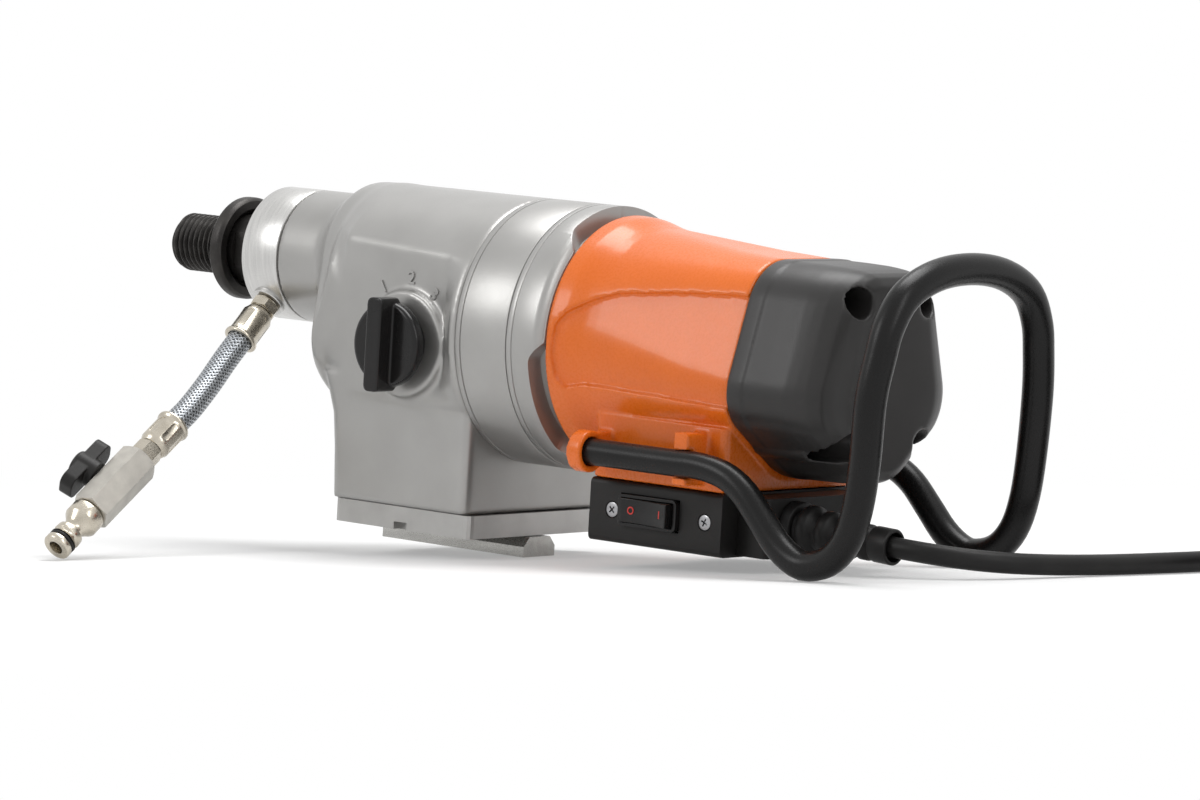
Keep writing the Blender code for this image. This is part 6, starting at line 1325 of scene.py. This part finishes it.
# ---------------------------------------------------------------------------
# The rest keeps its CAD shape: the base plate and dovetail shoe, the screws, and everything inside.
# Each piece gets the finish of its own metal, rubber or carbon.
plate_aluminium = finish_material(
    "plate_aluminium", (0.42, 0.415, 0.405), (0.36, 0.355, 0.345), (0.30, 0.45), metallic=0.85,
    mottle=60.0, grain=2000.0, bump=0.00001,
)
bright_steel = finish_material(
    "bright_steel", (0.46, 0.455, 0.435), (0.38, 0.375, 0.36), (0.20, 0.34), metallic=1.0,
    mottle=80.0, grain=1800.0, stretch=(0.4, 3, 3), bump=0.000008,
)
copper = finish_material("copper", (0.68, 0.30, 0.13), (0.55, 0.22, 0.09), (0.28, 0.42), metallic=1.0)
core_steel = finish_material(
    "core_steel", (0.20, 0.20, 0.21), (0.13, 0.13, 0.14), (0.4, 0.6), metallic=1.0,
    stretch=(40, 1, 1), mottle=30.0,
)
carbon = finish_material("carbon", (0.025, 0.025, 0.025), (0.015, 0.015, 0.015), (0.55, 0.7))
rubber_parts = ("front_seal", "rear_seal")
gear_parts = ("low_speed_gear", "middle_speed_gear", "high_speed_gear", "layshaft", "intermediate_shaft",
              "armature_shaft", "selector_shaft")
steel_parts = ("spindle_front_bearing", "spindle_rear_bearing", "motor_front_bearing", "motor_rear_bearing",
               "valve_ball_and_stem")
groups = (
    (("base_plate",), plate_aluminium), (("mounting_shoe",), bright_steel), (rubber_parts, rubber),
    (gear_parts, gear_steel), (steel_parts, bright_steel),
    (("shoe_screw_1", "shoe_screw_2"), dark_steel),
    (("gearbox_bearing_plate", "shift_fork"), machined_aluminium),
    (("armature_core", "stator"), core_steel),
    (("commutator", "brush_holder_left", "brush_holder_right"), copper),
    (("carbon_brush_left", "carbon_brush_right"), carbon), (("cooling_fan",), black_plastic),
)
for names, material in groups:
    for name in names:
        if not nodes[name].material_slots:
            nodes[name].data.materials.append(material)
        for finish_slot in nodes[name].material_slots:
            finish_slot.material = material

# ---------------------------------------------------------------------------
# Floor, light and backdrop: a pale studio floor, one broad lamp above, one from the left and a low fill. The
# backdrop is white to the camera and grey in the light it gives.
floor_shape = bmesh.new()
bmesh.ops.create_grid(floor_shape, x_segments=2, y_segments=2, size=40)
floor = raw_object("studio_floor", floor_shape)
floor.location.z = FLOOR_Z - 0.0002
floor_material = finish_material("studio_paper", (0.90, 0.90, 0.90), (0.88, 0.88, 0.88), (0.8, 0.9),
                                 mottle=2.0,
                                 grain=400.0, bump=0.00001, specular=0.1)
paper = floor_material.node_tree
paper_shader = paper.nodes["Principled BSDF"]
paper_out = paper.nodes["Material Output"]
paper_place = paper.nodes.new("ShaderNodeTexCoord")
paper_far = paper.nodes.new("ShaderNodeVectorMath")
paper_far.operation = "LENGTH"
link(paper, paper_place, "Object", paper_far, 0)
paper_fade = paper.nodes.new("ShaderNodeMapRange")
paper_fade.interpolation_type = "SMOOTHSTEP"
paper_fade.inputs["From Min"].default_value = 0.35
paper_fade.inputs["From Max"].default_value = 0.95
paper_fade.inputs["To Min"].default_value = 0.30
paper_fade.inputs["To Max"].default_value = 1.0
link(paper, paper_far, "Value", paper_fade, "Value")
paper_rays = paper.nodes.new("ShaderNodeLightPath")
paper_seen = paper.nodes.new("ShaderNodeMath")
paper_seen.operation = "MAXIMUM"
link(paper, paper_rays, "Is Camera Ray", paper_seen, 0)
link(paper, paper_rays, "Is Glossy Ray", paper_seen, 1)
paper_share = paper.nodes.new("ShaderNodeMath")
paper_share.operation = "MULTIPLY"
link(paper, paper_seen, 0, paper_share, 0)
link(paper, paper_fade, 0, paper_share, 1)
paper_white = paper.nodes.new("ShaderNodeEmission")
paper_mix = paper.nodes.new("ShaderNodeMixShader")
link(paper, paper_share, 0, paper_mix, 0)
link(paper, paper_shader, "BSDF", paper_mix, 1)
link(paper, paper_white, "Emission", paper_mix, 2)
link(paper, paper_mix, 0, paper_out, "Surface")
floor.data.materials.append(floor_material)


def studio_lamp(name, spot, aim, size, power):
    """A rectangular lamp aimed at a point."""
    lamp = bpy.data.lights.new(name, "AREA")
    lamp.shape = "RECTANGLE"
    lamp.size, lamp.size_y = size
    lamp.energy = power
    obj = bpy.data.objects.new(name, lamp)
    bpy.context.scene.collection.objects.link(obj)
    obj.location = spot
    obj.rotation_euler = (Vector(aim) - Vector(spot)).to_track_quat("-Z", "Y").to_euler()


studio_lamp("top_softbox", (-0.1, -0.3, 1.7), (-0.05, 0, 0.05), (1.5, 0.8), 26)
studio_lamp("left_softbox", (0.9, 1.9, 1.3), (0, 0, 0.1), (0.9, 0.9), 13)
studio_lamp("rear_strip", (-1.8, 0.4, 1.1), (-0.15, 0, 0.1), (0.4, 1.2), 6)
world = bpy.data.worlds.new("studio_world")
bpy.context.scene.world = world
world.use_nodes = True
world_tree = world.node_tree
world_tree.nodes.clear()
rays = world_tree.nodes.new("ShaderNodeLightPath")
white = world_tree.nodes.new("ShaderNodeBackground")
white.inputs["Color"].default_value = (1, 1, 1, 1)
white.inputs["Strength"].default_value = 1.0
room = world_tree.nodes.new("ShaderNodeBackground")
room.inputs["Color"].default_value = (1, 1, 1, 1)
room.inputs["Strength"].default_value = 0.42
seen = world_tree.nodes.new("ShaderNodeMath")
seen.operation = "MAXIMUM"
link(world_tree, rays, "Is Camera Ray", seen, 0)
link(world_tree, rays, "Is Glossy Ray", seen, 1)
seen_through = world_tree.nodes.new("ShaderNodeMath")
seen_through.operation = "MAXIMUM"
link(world_tree, seen, 0, seen_through, 0)
link(world_tree, rays, "Is Transmission Ray", seen_through, 1)
pick = world_tree.nodes.new("ShaderNodeMixShader")
link(world_tree, seen_through, 0, pick, 0)
link(world_tree, room, 0, pick, 1)
link(world_tree, white, 0, pick, 2)
out = world_tree.nodes.new("ShaderNodeOutputWorld")
link(world_tree, pick, 0, out, "Surface")
bpy.context.scene.view_settings.view_transform = "Standard"
